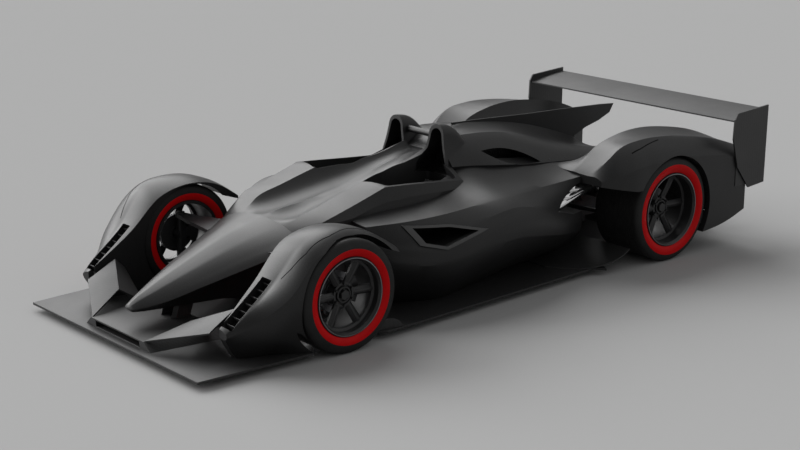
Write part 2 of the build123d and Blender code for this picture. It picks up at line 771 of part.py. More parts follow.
def pod_ring(row, out=0):
    """Shelf, an overhanging lip, a pontoon crest and a deep undercut."""
    return ring(row.y, [
        (POD_INNER, row.z_root, -0.04),
        (row.x_lip + out, row.z_lip, 0.03),
        (row.x_crest + out, row.z_crest, 0.10),
        (row.x_bulge + out, row.z_bulge, 0.06),
        (row.x_foot + out, FLOOR_TOP, 0),
        (POD_INNER, FLOOR_TOP, 0),
    ])


INLET_OUTLINE = [
    (mid(0.206), 622), (mid(0.326), 570), (mid(0.410), 516), (mid(0.296), 438), (mid(0.236), 482)
]
INLET_BACK = 612.0
INLET_RIM = 0.80
INLET_PROUD = 7.0
INLET_SUNK = 20.0


def shrunk(points, share):
    """Outline drawn in toward its own middle."""
    middle_y = sum(y for y, z in points) / len(points)
    middle_z = sum(z for y, z in points) / len(points)
    return [(middle_y + share * (y - middle_y), middle_z + share * (z - middle_z)) for y, z in points]


pod = skin([pod_ring(row) for row in POD_ROWS])
pod_proud = skin([pod_ring(row, INLET_PROUD) for row in POD_ROWS])
pod_sunk = skin([pod_ring(row, -INLET_SUNK) for row in POD_ROWS])
frame = prism(INLET_OUTLINE, "x", INLET_BACK, CLEAR)
frame -= prism(shrunk(INLET_OUTLINE, INLET_RIM), "x", INLET_BACK, CLEAR)
frame = (frame & pod_proud) - pod_sunk
pod -= block(0, TUB_HALF, front(0), TUB_END, 0, CLEAR)
pod -= prism(INLET_OUTLINE, "x", INLET_BACK, CLEAR)
pod -= prism([
    (mid(0.778), 606), (mid(0.726), 425), (mid(0.790), 356), (mid(0.850), 356), (mid(0.850), 606)
], "x", 500, CLEAR)
pod = pod - cover - hoop
add("inlet_frames", pair(frame))

KickRow = namedtuple("KickRow", "y x_in x_out z")
KICK_ROWS = [
    KickRow(mid(0.684), 440, 640, FLOOR_TOP),
    KickRow(mid(0.786), 452, 905, FLOOR_TOP + 14),
    KickRow(rear(-372), 470, 925, FLOOR_TOP + 84),
]
KICK_THICKNESS = 9.0


def kick_ring(row):
    """Thin strip across the floor."""
    return ring(row.y, [
        (row.x_in, row.z + KICK_THICKNESS, 0), (row.x_out, row.z + KICK_THICKNESS, 0),
        (row.x_out, row.z, 0), (row.x_in, row.z, 0),
    ])


kick = skin([kick_ring(row) for row in KICK_ROWS])
kick &= block(0, CLEAR, KICK_ROWS[0].y, KICK_ROWS[-1].y, FLOOR_TOP, CLEAR)
kick -= pod
FLICK_RISE = 58.0
flick_start = Vector(FLOOR_HALF - 44, front(264), FLOOR_TOP)
flick_end = Vector(FLOOR_HALF - 8, front(440), FLOOR_TOP)
flick_top = (flick_start + flick_end) * 0.5 + Vector(0, 10, FLICK_RISE)
flick = Solid.extrude(Face(Wire([
    Edge.make_three_point_arc(flick_start, flick_top, flick_end),
    Edge.make_line(flick_end, flick_start),
])), Vector(-KICK_THICKNESS, 0, 0))
add("floor_kicks", Compound(children=[pair(kick), pair(flick)]))


# Rear fenders

RearRow = namedtuple("RearRow", "s x_in z_valley crest_x z_crest top_x z_top out_in z_out z_foot")
REAR_FENDER_ROWS = [
    RearRow(-470, 460, 640, -170, 650, -10, 642, 24, 590, 560),
    RearRow(-380, 460, 650, -160, 738, 30, 728, 12, 650, 556),
    RearRow(-240, 460, 656, -155, 824, 60, 804, 2, 700, 300),
    RearRow(0, 470, 654, -150, 868, 80, 838, 0, 720, 160),
    RearRow(300, 500, 640, -140, 838, 90, 800, 0, 690, 160),
    RearRow(560, 540, 630, -130, 780, 100, 742, 0, 650, 170),
    RearRow(760, 580, 610, -110, 704, 100, 676, 0, 590, 210),
]
REAR_LIP_Z = 550.0


def rear_ring(row):
    """Valley beside the engine cover, a crest, a crowned top and a flat outer wall."""
    return ring(rear(row.s), [
        (row.x_in, row.z_valley, -0.06),
        (REAR_WHEEL_X + row.crest_x, row.z_crest, 0.04),
        (REAR_WHEEL_X + row.top_x, row.z_top, 0.09),
        (FENDER_OUT - row.out_in, row.z_out, 0),
        (FENDER_OUT - row.out_in, row.z_foot, 0),
        (row.x_in, row.z_foot, 0),
    ])


rear_fender = skin([rear_ring(row) for row in REAR_FENDER_ROWS])
rear_arch = REAR_TYRE_RADIUS + REAR_ARCH_GAP
arch_x0 = REAR_WHEEL_X - REAR_TYRE_WIDTH / 2 - 24
arch_x1 = REAR_WHEEL_X + REAR_TYRE_WIDTH / 2 - FENDER_WALL
rear_fender &= block(0, FENDER_OUT, rear(-600), rear(800), 0, CLEAR)
rear_fender -= axle_rod(arch_x0, CLEAR, REAR_AXLE_Y, REAR_AXLE_Z, rear_arch)
rear_fender -= axle_rod(300, arch_x1, REAR_AXLE_Y, REAR_AXLE_Z, REAR_RIM_RADIUS)
rear_fender -= block(300, CLEAR, rear(-600), rear(-200), 0, REAR_LIP_Z)
rear_fender -= block(arch_x0, arch_x1 - 10, rear(200), rear(640), 200, 600)
slit_wide = 5.0
slit = block(
    REAR_WHEEL_X + 100, REAR_WHEEL_X + 100 + slit_wide, rear(-310), rear(-100), REAR_AXLE_Z + rear_arch + 30, CLEAR
)
rear_fender = rear_fender - cover - diffuser - slit
add_sides("rear_fender", rear_fender)


# Rear wing

ENDPLATE_OUTLINE = [
    (rear(618), 942), (rear(REAR_OVERHANG), 962), (rear(REAR_OVERHANG - 8), 408),
    (rear(774), 394), (rear(640), 560), (rear(582), 764), (rear(590), 900),
]
endplate = prism(ENDPLATE_OUTLINE, "x", ENDPLATE_IN, HALF_WIDTH)
wing_front = Vector(0, rear(598), 892)
wing_back = Vector(0, rear(REAR_OVERHANG - 6), 934)
wing_mid = (wing_front + wing_back) * 0.5
wing_wire = Wire([
    Edge.make_three_point_arc(wing_front, wing_mid + Vector(0, 0, 6), wing_back),
    Edge.make_line(wing_back, wing_back - Vector(0, 0, 4)),
    Edge.make_three_point_arc(
        wing_back - Vector(0, 0, 4), wing_mid - Vector(0, 40, WING_THICKNESS), wing_front - Vector(0, 0, 10)
    ),
    Edge.make_line(wing_front - Vector(0, 0, 10), wing_front),
])
wing = Pos(-ENDPLATE_IN, 0, 0) * extrude(Face(wing_wire), 2 * ENDPLATE_IN, dir=(1, 0, 0))
add("rear_wing", wing)
tail_pad = block(FENDER_OUT, ENDPLATE_IN, rear(640), rear(752), 420, 560)
add("wing_endplates", pair(endplate + tail_pad))


# Engine, gearbox and exhausts

ENGINE_HALF = 280.0
ENGINE_SHELF = 330.0
ENGINE_TOP = 600.0
ENGINE_BACK = mid(0.780)
engine = block(-ENGINE_HALF, ENGINE_HALF, TUB_END, ENGINE_BACK, FLOOR_TOP, ENGINE_SHELF)
engine += prism([
    (-ENGINE_HALF, ENGINE_SHELF), (ENGINE_HALF, ENGINE_SHELF),
    (ENGINE_HALF - 80, ENGINE_TOP), (80 - ENGINE_HALF, ENGINE_TOP),
], "y", TUB_END, mid(0.760))
add("engine_block", engine)
GEARBOX_HALF = 150.0
GEARBOX_LOW = 150.0
GEARBOX_END = rear(420)
gearbox = block(-GEARBOX_HALF, GEARBOX_HALF, ENGINE_BACK, GEARBOX_END, GEARBOX_LOW, 480)
gearbox += axle_rod(-GEARBOX_HALF - 40, GEARBOX_HALF + 40, REAR_AXLE_Y, REAR_AXLE_Z, 92)
gearbox += block(-60, 60, rear(-100), rear(120), FLOOR_TOP, GEARBOX_LOW)
gearbox -= diffuser
add("gearbox", gearbox)

PIPE_RADIUS = 27.0
PIPE_COUNT = 4
PIPE_BEND = 62.0
PIPE_X = 604.0
exhaust = None
for number in range(PIPE_COUNT):
    y0 = mid(0.722 + 0.021 * number)
    z0 = 392 + 46 * number
    path = FilletPolyline(
        (ENGINE_HALF - 90, y0, z0 - 40), (PIPE_X, y0, z0), (PIPE_X - 14, mid(0.822), 548), radius=PIPE_BEND,
    )
    pipe = sweep(Plane(path @ 0, z_dir=path % 0) * Circle(PIPE_RADIUS), path)
    exhaust = pipe if exhaust is None else exhaust + pipe
exhaust = exhaust - engine
pod -= exhaust
add_sides("side_pod", pod)
add("exhausts", pair(exhaust))


# Suspension

EYE_BASE = KNUCKLE_HALF_HEIGHT + ARM_EYE_GAP


def knuckle():
    """Upright on its kingpins, with the spindle and the caliper."""
    x = KINGPIN_X
    y = FRONT_AXLE_Y
    z = FRONT_AXLE_Z
    reach = EYE_BASE + ARM_EYE_HEIGHT + 2
    post = rod((x, y, z - KNUCKLE_HALF_HEIGHT), (x, y, z + KNUCKLE_HALF_HEIGHT), KNUCKLE_RADIUS)
    post += rod((x, y, z - reach), (x, y, z + reach), KINGPIN_RADIUS)
    hub = FRONT_WHEEL_X + hub_back(FRONT_WHEEL)
    post += axle_rod(x - 20, hub + HUB_LENGTH - 15, y, z, SPINDLE_RADIUS)
    grip = Pos(FRONT_WHEEL_X, y, z) * caliper(FRONT_WHEEL, -90 - CALIPER_ARC / 2)
    plate_x = FRONT_WHEEL_X + disc_back(FRONT_WHEEL) - CALIPER_CLEARANCE
    web = block(plate_x - 20, plate_x, y, y + DISC_RADIUS - 10, z - 34, z + 34)
    neck = block(x, plate_x, y - 20, y + 40, z - 34, z + 34)
    return post + grip + web + neck


add_sides("front_knuckle", knuckle())


def kingpin(z0, z1, radius):
    """Round bar on the kingpin's line."""
    return rod((KINGPIN_X, FRONT_AXLE_Y, z0), (KINGPIN_X, FRONT_AXLE_Y, z1), radius)


kingpin_bore = kingpin(0, CLEAR, KINGPIN_RADIUS + KINGPIN_CLEARANCE)
upper_z = FRONT_AXLE_Z + EYE_BASE
BLADE_EDGE = 8.0
blade_low = upper_z + BLADE_EDGE
blade_high = upper_z + ARM_EYE_HEIGHT - BLADE_EDGE
blade_knee = KINGPIN_X - 130
blade = prism([
    (KINGPIN_X, front(-28)), (blade_knee, front(-54)), (300, front(-96)), (300, front(190)),
    (blade_knee, front(58)), (KINGPIN_X, front(28)),
], "z", blade_low, blade_high)
upper_arm = kingpin(upper_z, upper_z + ARM_EYE_HEIGHT, ARM_EYE_RADIUS) + blade - kingpin_bore - nose - tub
add("front_upper_arms", pair(upper_arm))

ARM_RADIUS = 16.0
lower_z = FRONT_AXLE_Z - EYE_BASE - ARM_EYE_HEIGHT
lower_arm = kingpin(lower_z, lower_z + ARM_EYE_HEIGHT, ARM_EYE_RADIUS)
for foot_s in (-170, 210):
    lower_arm += rod((KINGPIN_X - 14, front(0), lower_z + 20), (120, front(foot_s), lower_z + 40), ARM_RADIUS)
lower_arm = lower_arm - kingpin_bore - nose - tub
add("front_lower_arms", pair(lower_arm))

UPRIGHT_X = REAR_WHEEL_X + disc_back(REAR_WHEEL) - CALIPER_CLEARANCE - 46
UPRIGHT_HALF = 130.0
hub_x = REAR_WHEEL_X + hub_back(REAR_WHEEL)
upright = block(
    UPRIGHT_X - 40, UPRIGHT_X + 20, rear(-60), rear(60), REAR_AXLE_Z - UPRIGHT_HALF, REAR_AXLE_Z + UPRIGHT_HALF
)
upright += axle_rod(UPRIGHT_X, hub_x + HUB_LENGTH - 15, REAR_AXLE_Y, REAR_AXLE_Z, SPINDLE_RADIUS)
upright += block(UPRIGHT_X, UPRIGHT_X + 24, rear(10 - DISC_RADIUS), rear(0), REAR_AXLE_Z - 40, REAR_AXLE_Z + 40)
add("rear_uprights", pair(upright))
rear_caliper = Pos(REAR_WHEEL_X, REAR_AXLE_Y, REAR_AXLE_Z) * caliper(REAR_WHEEL, 90 - CALIPER_ARC / 2)
rear_caliper -= upright
add("rear_calipers", pair(rear_caliper))

SHAFT_RADIUS = 24.0
BOOT_RADIUS = 46.0
BOOT_LENGTH = 80.0
shaft_in = GEARBOX_HALF + 40
shaft_out = UPRIGHT_X - 40
shaft = axle_rod(shaft_in, shaft_out, REAR_AXLE_Y, REAR_AXLE_Z, SHAFT_RADIUS)
for boot_x in (shaft_in, shaft_out - BOOT_LENGTH):
    shaft += axle_rod(boot_x, boot_x + BOOT_LENGTH, REAR_AXLE_Y, REAR_AXLE_Z, BOOT_RADIUS)
add("drive_shafts", pair(shaft))

rear_arm = None
for height in (-110, 110):
    for foot_s in (-230, 200):
        bar = rod(
            (UPRIGHT_X - 30, rear(0.2 * foot_s), REAR_AXLE_Z + height),
            (100, rear(foot_s), REAR_AXLE_Z + 0.75 * height), ARM_RADIUS - 1,
        )
        bar = bar - upright - gearbox
        rear_arm = bar if rear_arm is None else rear_arm + bar
add("rear_arms", pair(rear_arm))


# Cockpit furniture

seat_front = mid(0.322)
seat_hinge = mid(0.392)
seat_top = mid(0.452)
SEAT_FRONT_Z = 205.0
SEAT_TOP_Z = 690.0
seat = prism([
    (seat_front, SEAT_FRONT_Z), (seat_hinge, 168), (seat_top, SEAT_TOP_Z),
    (seat_top + SEAT_THICKNESS, SEAT_TOP_Z - 10), (seat_hinge + SEAT_THICKNESS, BAY_FLOOR), (seat_front, BAY_FLOOR),
], "x", BAY_INNER + SEAT_GAP, BAY_OUTER - SEAT_GAP)
add("seats", pair(seat))

column_y = mid(0.268)
column_z = 600.0
wheel_x = (FOOTWELL_INNER + FOOTWELL_OUTER) / 2 + 34
column_plane = Plane((wheel_x, column_y, column_z), z_dir=(0, -1, -0.30))
wheel_ring = column_plane * Torus(STEERING_WHEEL_RADIUS - 34, 12)
wheel_ring += column_plane * Cylinder(30, 30)
wheel_ring += column_plane * Box(2 * STEERING_WHEEL_RADIUS - 76, 26, 10)
wheel_ring += Solid.make_cylinder(15, 160, column_plane)
wheel_ring -= tub
add("steering_wheel", wheel_ring)

os.makedirs("parts", exist_ok=True)
for name, shape in NODES.items():
    export_step(shape, "parts/" + name + ".step")
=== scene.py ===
"""Dresses a two-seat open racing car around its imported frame.

Metres. The nose points to -Y, the car's left is +X and up is +Z.
"""
from __future__ import annotations

import json
import logging
import math
from dataclasses import dataclass
from enum import Enum
from typing import Any, Callable, Iterable, Sequence

import bmesh
import bpy
import numpy
from mathutils import Matrix, Vector
from mathutils.bvhtree import BVHTree

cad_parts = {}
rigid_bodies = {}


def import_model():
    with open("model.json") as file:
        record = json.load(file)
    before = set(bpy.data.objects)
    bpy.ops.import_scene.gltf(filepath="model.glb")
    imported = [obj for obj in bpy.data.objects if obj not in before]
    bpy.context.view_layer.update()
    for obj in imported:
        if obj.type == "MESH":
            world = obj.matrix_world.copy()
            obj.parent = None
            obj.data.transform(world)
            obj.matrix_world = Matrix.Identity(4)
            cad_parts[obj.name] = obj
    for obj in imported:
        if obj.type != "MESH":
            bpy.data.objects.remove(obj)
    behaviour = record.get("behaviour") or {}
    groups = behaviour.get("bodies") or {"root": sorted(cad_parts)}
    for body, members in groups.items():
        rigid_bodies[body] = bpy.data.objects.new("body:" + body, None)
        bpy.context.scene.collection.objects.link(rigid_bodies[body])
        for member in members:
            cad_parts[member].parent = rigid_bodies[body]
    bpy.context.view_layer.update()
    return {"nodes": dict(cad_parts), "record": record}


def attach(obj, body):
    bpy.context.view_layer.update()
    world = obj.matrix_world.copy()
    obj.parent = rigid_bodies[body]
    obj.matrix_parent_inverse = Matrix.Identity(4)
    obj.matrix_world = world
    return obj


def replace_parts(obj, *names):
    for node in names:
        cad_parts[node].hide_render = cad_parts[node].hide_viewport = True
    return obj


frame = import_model()

LOG = logging.getLogger("racing_car")
FRONT_AXLE_Y = -1.3765
REAR_AXLE_Y = 1.4295
WHEELBASE = REAR_AXLE_Y - FRONT_AXLE_Y
CHASSIS = "chassis"
EDGE_ANGLE = 32.0
PANEL_ANGLE = 22.0
BLOCK_ANGLE = 40.0
CONTROL_ANGLE = 35.0

Mesh = bpy.types.Mesh
Material = bpy.types.Material
Tree = bpy.types.NodeTree
Socket = bpy.types.NodeSocket
Colour = tuple[float, float, float]
Point = tuple[float, float, float]
Pair = tuple[float, float]
Rows = tuple[tuple[float, ...], ...]


class Side(Enum):
    """Side of the car, with the sign of its X."""

    LEFT = 1
    RIGHT = -1


class Axle(Enum):
    """Axle that a wheel belongs to."""

    FRONT = "front"
    REAR = "rear"


def station(share: float) -> float:
    """Y of a share of the wheelbase behind the front axle."""
    return FRONT_AXLE_Y + share * WHEELBASE


# Node building


def put(tree: Tree, kind: str, settings: dict[str, Any] | None = None, **inputs: Any) -> bpy.types.Node:
    """Adds a node, sets its properties and sets or links its inputs.

    Args:
        tree: Tree that takes the node.
        kind: Node type.
        settings: Properties of the node.
        **inputs: Value or source socket for each input, with spaces as underscores.

    Returns:
        The new node.
    """
    node = tree.nodes.new(kind)
    for key, value in (settings or {}).items():
        setattr(node, key, value)
    for key, value in inputs.items():
        plug(tree, node.inputs[key.replace("_", " ")], value)
    return node


def plug(tree: Tree, socket: Socket, value: Any) -> None:
    """Links a socket, or sets its value where a plain value is given."""
    if isinstance(value, Socket):
        tree.links.new(value, socket)
    else:
        socket.default_value = value


def reckon(tree: Tree, sign: str, *values: Any) -> Socket:
    """Adds a Math node.

    Args:
        tree: Tree that takes the node.
        sign: Operation of the node.
        *values: Values or source sockets, in order.

    Returns:
        The result's socket.
    """
    node = tree.nodes.new("ShaderNodeMath")
    node.operation = sign
    for socket, value in zip(node.inputs, values):
        plug(tree, socket, value)
    return node.outputs[0]


def spread(
    tree: Tree, value: Any, low: float, high: float, start: float, end: float
) -> Socket:
    """Maps low to high onto start to end, clamped.

    Args:
        tree: Tree that takes the node.
        value: Source socket.
        low: Value that becomes start.
        high: Value that becomes end.
        start: First result.
        end: Last result.

    Returns:
        The result's socket.
    """
    node = put(tree, "ShaderNodeMapRange", From_Min=low, From_Max=high, To_Min=start, To_Max=end)
    plug(tree, node.inputs["Value"], value)
    return node.outputs["Result"]


def tint(tree: Tree, mask: Any, first: Colour, second: Colour) -> Socket:
    """Mixes two colours by a mask.

    Args:
        tree: Tree that takes the node.
        mask: Source socket, 0 to 1.
        first: Colour at 0.
        second: Colour at 1.

    Returns:
        The colour's socket.
    """
    node = tree.nodes.new("ShaderNodeMix")
    node.data_type = "RGBA"
    plug(tree, node.inputs[0], mask)
    plug(tree, node.inputs[6], (*first, 1.0))
    plug(tree, node.inputs[7], (*second, 1.0))
    return node.outputs[2]


class EffectGroup:
    """Shader node group that several finishes share."""

    def __init__(
        self, name: str, inputs: dict[str, float], outputs: Sequence[str], fill: Callable[..., dict[str, Any]]
    ) -> None:
        """Builds the group.

        Args:
            name: Name of the group.
            inputs: Name and first value of each input.
            outputs: Names of the outputs.
            fill: Adds the nodes, from the tree and the inputs, and returns a socket for each output.
        """
        self.tree = bpy.data.node_groups.new(name, "ShaderNodeTree")
        for key, value in inputs.items():
            socket = self.tree.interface.new_socket(name=key, in_out="INPUT", socket_type="NodeSocketFloat")
            socket.default_value = value
        for key in outputs:
            self.tree.interface.new_socket(name=key, in_out="OUTPUT", socket_type="NodeSocketFloat")
        entry = self.tree.nodes.new("NodeGroupInput")
        leave = self.tree.nodes.new("NodeGroupOutput")
        for key, socket in fill(self.tree, entry.outputs).items():
            self.tree.links.new(socket, leave.inputs[key])

    def use(self, tree: Tree, **inputs: Any) -> bpy.types.NodeOutputs:
        """Places the group in a material and returns its outputs."""
        node = tree.nodes.new("ShaderNodeGroup")
        node.node_tree = self.tree
        for key, value in inputs.items():
            plug(tree, node.inputs[key], value)
        return node.outputs


def fill_grain(tree: Tree, entry: Any) -> dict[str, Any]:
    """Fine speckle, as in a satin composite skin."""
    place = tree.nodes.new("ShaderNodeTexCoord").outputs["Object"]
    noise = put(tree, "ShaderNodeTexNoise", Vector=place, Scale=entry["Scale"], Detail=3.0, Roughness=0.6)
    return {
        "Speckle": spread(tree, noise.outputs["Fac"], 0.36, 0.66, 0.0, 1.0),
        "Height": noise.outputs["Fac"],
    }


def fill_smudge(tree: Tree, entry: Any) -> dict[str, Any]:
    """Broad, soft unevenness, as handling leaves on a finish."""
    place = tree.nodes.new("ShaderNodeTexCoord").outputs["Object"]
    noise = put(tree, "ShaderNodeTexNoise", Vector=place, Scale=entry["Scale"], Detail=4.0, Roughness=0.55)
    node = put(tree, "ShaderNodeMapRange", From_Min=0.3, From_Max=0.7, To_Min=entry["Low"], To_Max=entry["High"])
    tree.links.new(noise.outputs["Fac"], node.inputs["Value"])
    return {"Value": node.outputs["Result"]}


def fill_twill(tree: Tree, entry: Any) -> dict[str, Any]:
    """Two-by-two twill weave that leans with height, so upright plates show it too."""
    place = tree.nodes.new("ShaderNodeTexCoord").outputs["Object"]
    parts = put(tree, "ShaderNodeSeparateXYZ", Vector=place).outputs
    lift = reckon(tree, "MULTIPLY", parts["Z"], 0.7)
    cells = []
    waves = []
    for axis in ("X", "Y"):
        run = reckon(tree, "DIVIDE", reckon(tree, "ADD", parts[axis], lift), entry["Tow"])
        cells.append(reckon(tree, "FLOOR", run))
        waves.append(reckon(tree, "PINGPONG", run, 0.5))
    step = reckon(tree, "FLOORED_MODULO", reckon(tree, "SUBTRACT", cells[0], cells[1]), 4.0)
    over = reckon(tree, "LESS_THAN", step, 1.5)
    first = reckon(tree, "MULTIPLY", over, waves[0])
    second = reckon(tree, "MULTIPLY", reckon(tree, "SUBTRACT", 1.0, over), waves[1])
    return {"Over": over, "Height": reckon(tree, "ADD", first, second)}


def fill_rings(tree: Tree, entry: Any) -> dict[str, Any]:
    """Fine turning marks along the V of the piece's own UV map."""
    place = tree.nodes.new("ShaderNodeUVMap").outputs["UV"]
    parts = put(tree, "ShaderNodeSeparateXYZ", Vector=place).outputs
    run = put(tree, "ShaderNodeCombineXYZ", X=reckon(tree, "MULTIPLY", parts["Y"], entry["Count"]), Y=parts["X"])
    noise = put(tree, "ShaderNodeTexNoise", Vector=run.outputs["Vector"], Scale=1.0, Detail=2.0)
    return {"Mark": noise.outputs["Fac"]}


GRAIN = EffectGroup("fine_grain", {"Scale": 240.0}, ("Speckle", "Height"), fill_grain)
SMUDGE = EffectGroup("soft_smudge", {"Scale": 4.0, "Low": 0.4, "High": 0.5}, ("Value",), fill_smudge)
TWILL = EffectGroup("twill_weave", {"Tow": 0.006}, ("Over", "Height"), fill_twill)
TURNED = EffectGroup("turning_marks", {"Count": 60.0}, ("Mark",), fill_rings)


# Finishes


class Shader:
    """Material under construction: its tree, its Principled shader and its bumps."""

    def __init__(self, name: str) -> None:
        """Starts an empty material with a Principled shader."""
        self.material = bpy.data.materials.new(name)
        self.material.use_nodes = True
        self.tree = self.material.node_tree
        self.tree.nodes.clear()
        self.principled = self.tree.nodes.new("ShaderNodeBsdfPrincipled")
        out = self.tree.nodes.new("ShaderNodeOutputMaterial")
        self.tree.links.new(self.principled.outputs[0], out.inputs["Surface"])

    def set(self, **inputs: Any) -> None:
        """Sets or links inputs of the Principled shader."""
        for key, value in inputs.items():
            plug(self.tree, self.principled.inputs[key.replace("_", " ")], value)

    def bump(self, height: Socket, strength: float, depth: float) -> None:
        """Adds a bump, on top of any that is there.

        Args:
            height: Source socket.
            strength: Strength of the bump, 0 to 1.
            depth: Real depth in metres.
        """
        node = put(self.tree, "ShaderNodeBump", Strength=strength, Distance=depth, Height=height)
        normal = self.principled.inputs["Normal"]
        if normal.is_linked:
            self.tree.links.new(normal.links[0].from_socket, node.inputs["Normal"])
        self.tree.links.new(node.outputs["Normal"], normal)


@dataclass(frozen=True)
class SatinSkin:
    """Satin composite skin with a fine speckle and slightly softened edges."""

    name: str
    dark: Colour
    light: Colour
    roughness: Pair = (0.36, 0.44)
    gloss: float = 0.38
    grain: float = 260.0
    edge: float = 0.0025

    def material(self) -> Material:
        """Builds the material."""
        shader = Shader(self.name)
        tree = shader.tree
        grain = GRAIN.use(tree, Scale=self.grain)
        soft = SMUDGE.use(tree, Scale=3.0, Low=self.roughness[0], High=self.roughness[1])
        shader.set(Base_Color=tint(tree, grain["Speckle"], self.dark, self.light), Roughness=soft["Value"])
        shader.set(Specular_IOR_Level=self.gloss)
        edge = put(tree, "ShaderNodeBevel", {"samples": 4}, Radius=self.edge)
        shader.set(Normal=edge.outputs["Normal"])
        shader.bump(grain["Height"], 0.10, 0.0005)
        return shader.material


@dataclass(frozen=True)
class WovenPlate:
    """Matte composite plate with its twill just showing."""

    name: str
    dark: Colour
    light: Colour
    tow: float = 0.006
    weave_share: float = 0.35
    roughness: Pair = (0.44, 0.54)
    gloss: float = 0.56
    edge: float = 0.002

    def material(self) -> Material:
        """Builds the material."""
        shader = Shader(self.name)
        tree = shader.tree
        weave = TWILL.use(tree, Tow=self.tow)
        grain = GRAIN.use(tree, Scale=300.0)
        over = reckon(tree, "MULTIPLY", weave["Over"], self.weave_share)
        speckle = reckon(tree, "MULTIPLY", grain["Speckle"], 1 - self.weave_share)
        mask = reckon(tree, "ADD", over, speckle)
        soft = SMUDGE.use(tree, Scale=2.5, Low=self.roughness[0], High=self.roughness[1])
        shader.set(Base_Color=tint(tree, mask, self.dark, self.light), Roughness=soft["Value"])
        shader.set(Specular_IOR_Level=self.gloss)
        edge = put(tree, "ShaderNodeBevel", {"samples": 4}, Radius=self.edge)
        shader.set(Normal=edge.outputs["Normal"])
        shader.bump(weave["Height"], 0.12, 0.0004)
        return shader.material


@dataclass(frozen=True)
class Rubber:
    """Tyre rubber or a painted band on it."""

    name: str
    dark: Colour
    light: Colour
    roughness: Pair
    grain: float = 320.0
    depth: float = 0.0005
    gloss: float = 0.30

    def material(self) -> Material:
        """Builds the material."""
        shader = Shader(self.name)
        tree = shader.tree
        grain = GRAIN.use(tree, Scale=self.grain)
        patch = SMUDGE.use(tree, Scale=14.0, Low=0.0, High=1.0)
        mask = reckon(tree, "MULTIPLY", reckon(tree, "ADD", grain["Speckle"], patch["Value"]), 0.5)
        soft = SMUDGE.use(tree, Scale=9.0, Low=self.roughness[0], High=self.roughness[1])
        shader.set(Base_Color=tint(tree, mask, self.dark, self.light), Roughness=soft["Value"])
        shader.set(Specular_IOR_Level=self.gloss)
        shader.bump(grain["Height"], 0.25, self.depth)
        return shader.material


@dataclass(frozen=True)
class Metal:
    """Bare or plated metal with a soft unevenness."""

    name: str
    dark: Colour
    light: Colour
    roughness: Pair
    metallic: float = 1.0
    grain: float = 180.0
    depth: float = 0.0001

    def material(self) -> Material:
        """Builds the material."""
        shader = Shader(self.name)
        tree = shader.tree
        grain = GRAIN.use(tree, Scale=self.grain)
        patch = SMUDGE.use(tree, Scale=8.0, Low=0.0, High=1.0)
        soft = SMUDGE.use(tree, Scale=11.0, Low=self.roughness[0], High=self.roughness[1])
        shader.set(Base_Color=tint(tree, patch["Value"], self.dark, self.light), Roughness=soft["Value"])
        shader.set(Metallic=self.metallic)
        shader.bump(grain["Height"], 0.10, self.depth)
        return shader.material


@dataclass(frozen=True)
class TurnedIron:
    """Brake iron with turning marks round the disc."""

    name: str
    dark: Colour = (0.10, 0.10, 0.105)
    light: Colour = (0.24, 0.24, 0.25)
    marks: float = 90.0

    def material(self) -> Material:
        """Builds the material."""
        shader = Shader(self.name)
        tree = shader.tree
        mark = TURNED.use(tree, Count=self.marks)["Mark"]
        shader.set(Base_Color=tint(tree, mark, self.dark, self.light), Metallic=0.85)
        shader.set(Roughness=spread(tree, mark, 0.3, 0.7, 0.34, 0.5))
        shader.bump(mark, 0.15, 0.0003)
        return shader.material


@dataclass(frozen=True)
class Cloth:
    """Woven cover of the seats and belts."""

    name: str
    dark: Colour
    light: Colour
    thread: float = 0.0016

    def material(self) -> Material:
        """Builds the material."""
        shader = Shader(self.name)
        tree = shader.tree
        weave = TWILL.use(tree, Tow=self.thread)
        patch = SMUDGE.use(tree, Scale=18.0, Low=0.0, High=1.0)
        mask = reckon(tree, "MULTIPLY", reckon(tree, "ADD", weave["Over"], patch["Value"]), 0.5)
        shader.set(Base_Color=tint(tree, mask, self.dark, self.light), Roughness=0.82)
        shader.set(Sheen_Weight=0.25, Sheen_Roughness=0.4)
        shader.bump(weave["Height"], 0.5, 0.0006)
        return shader.material


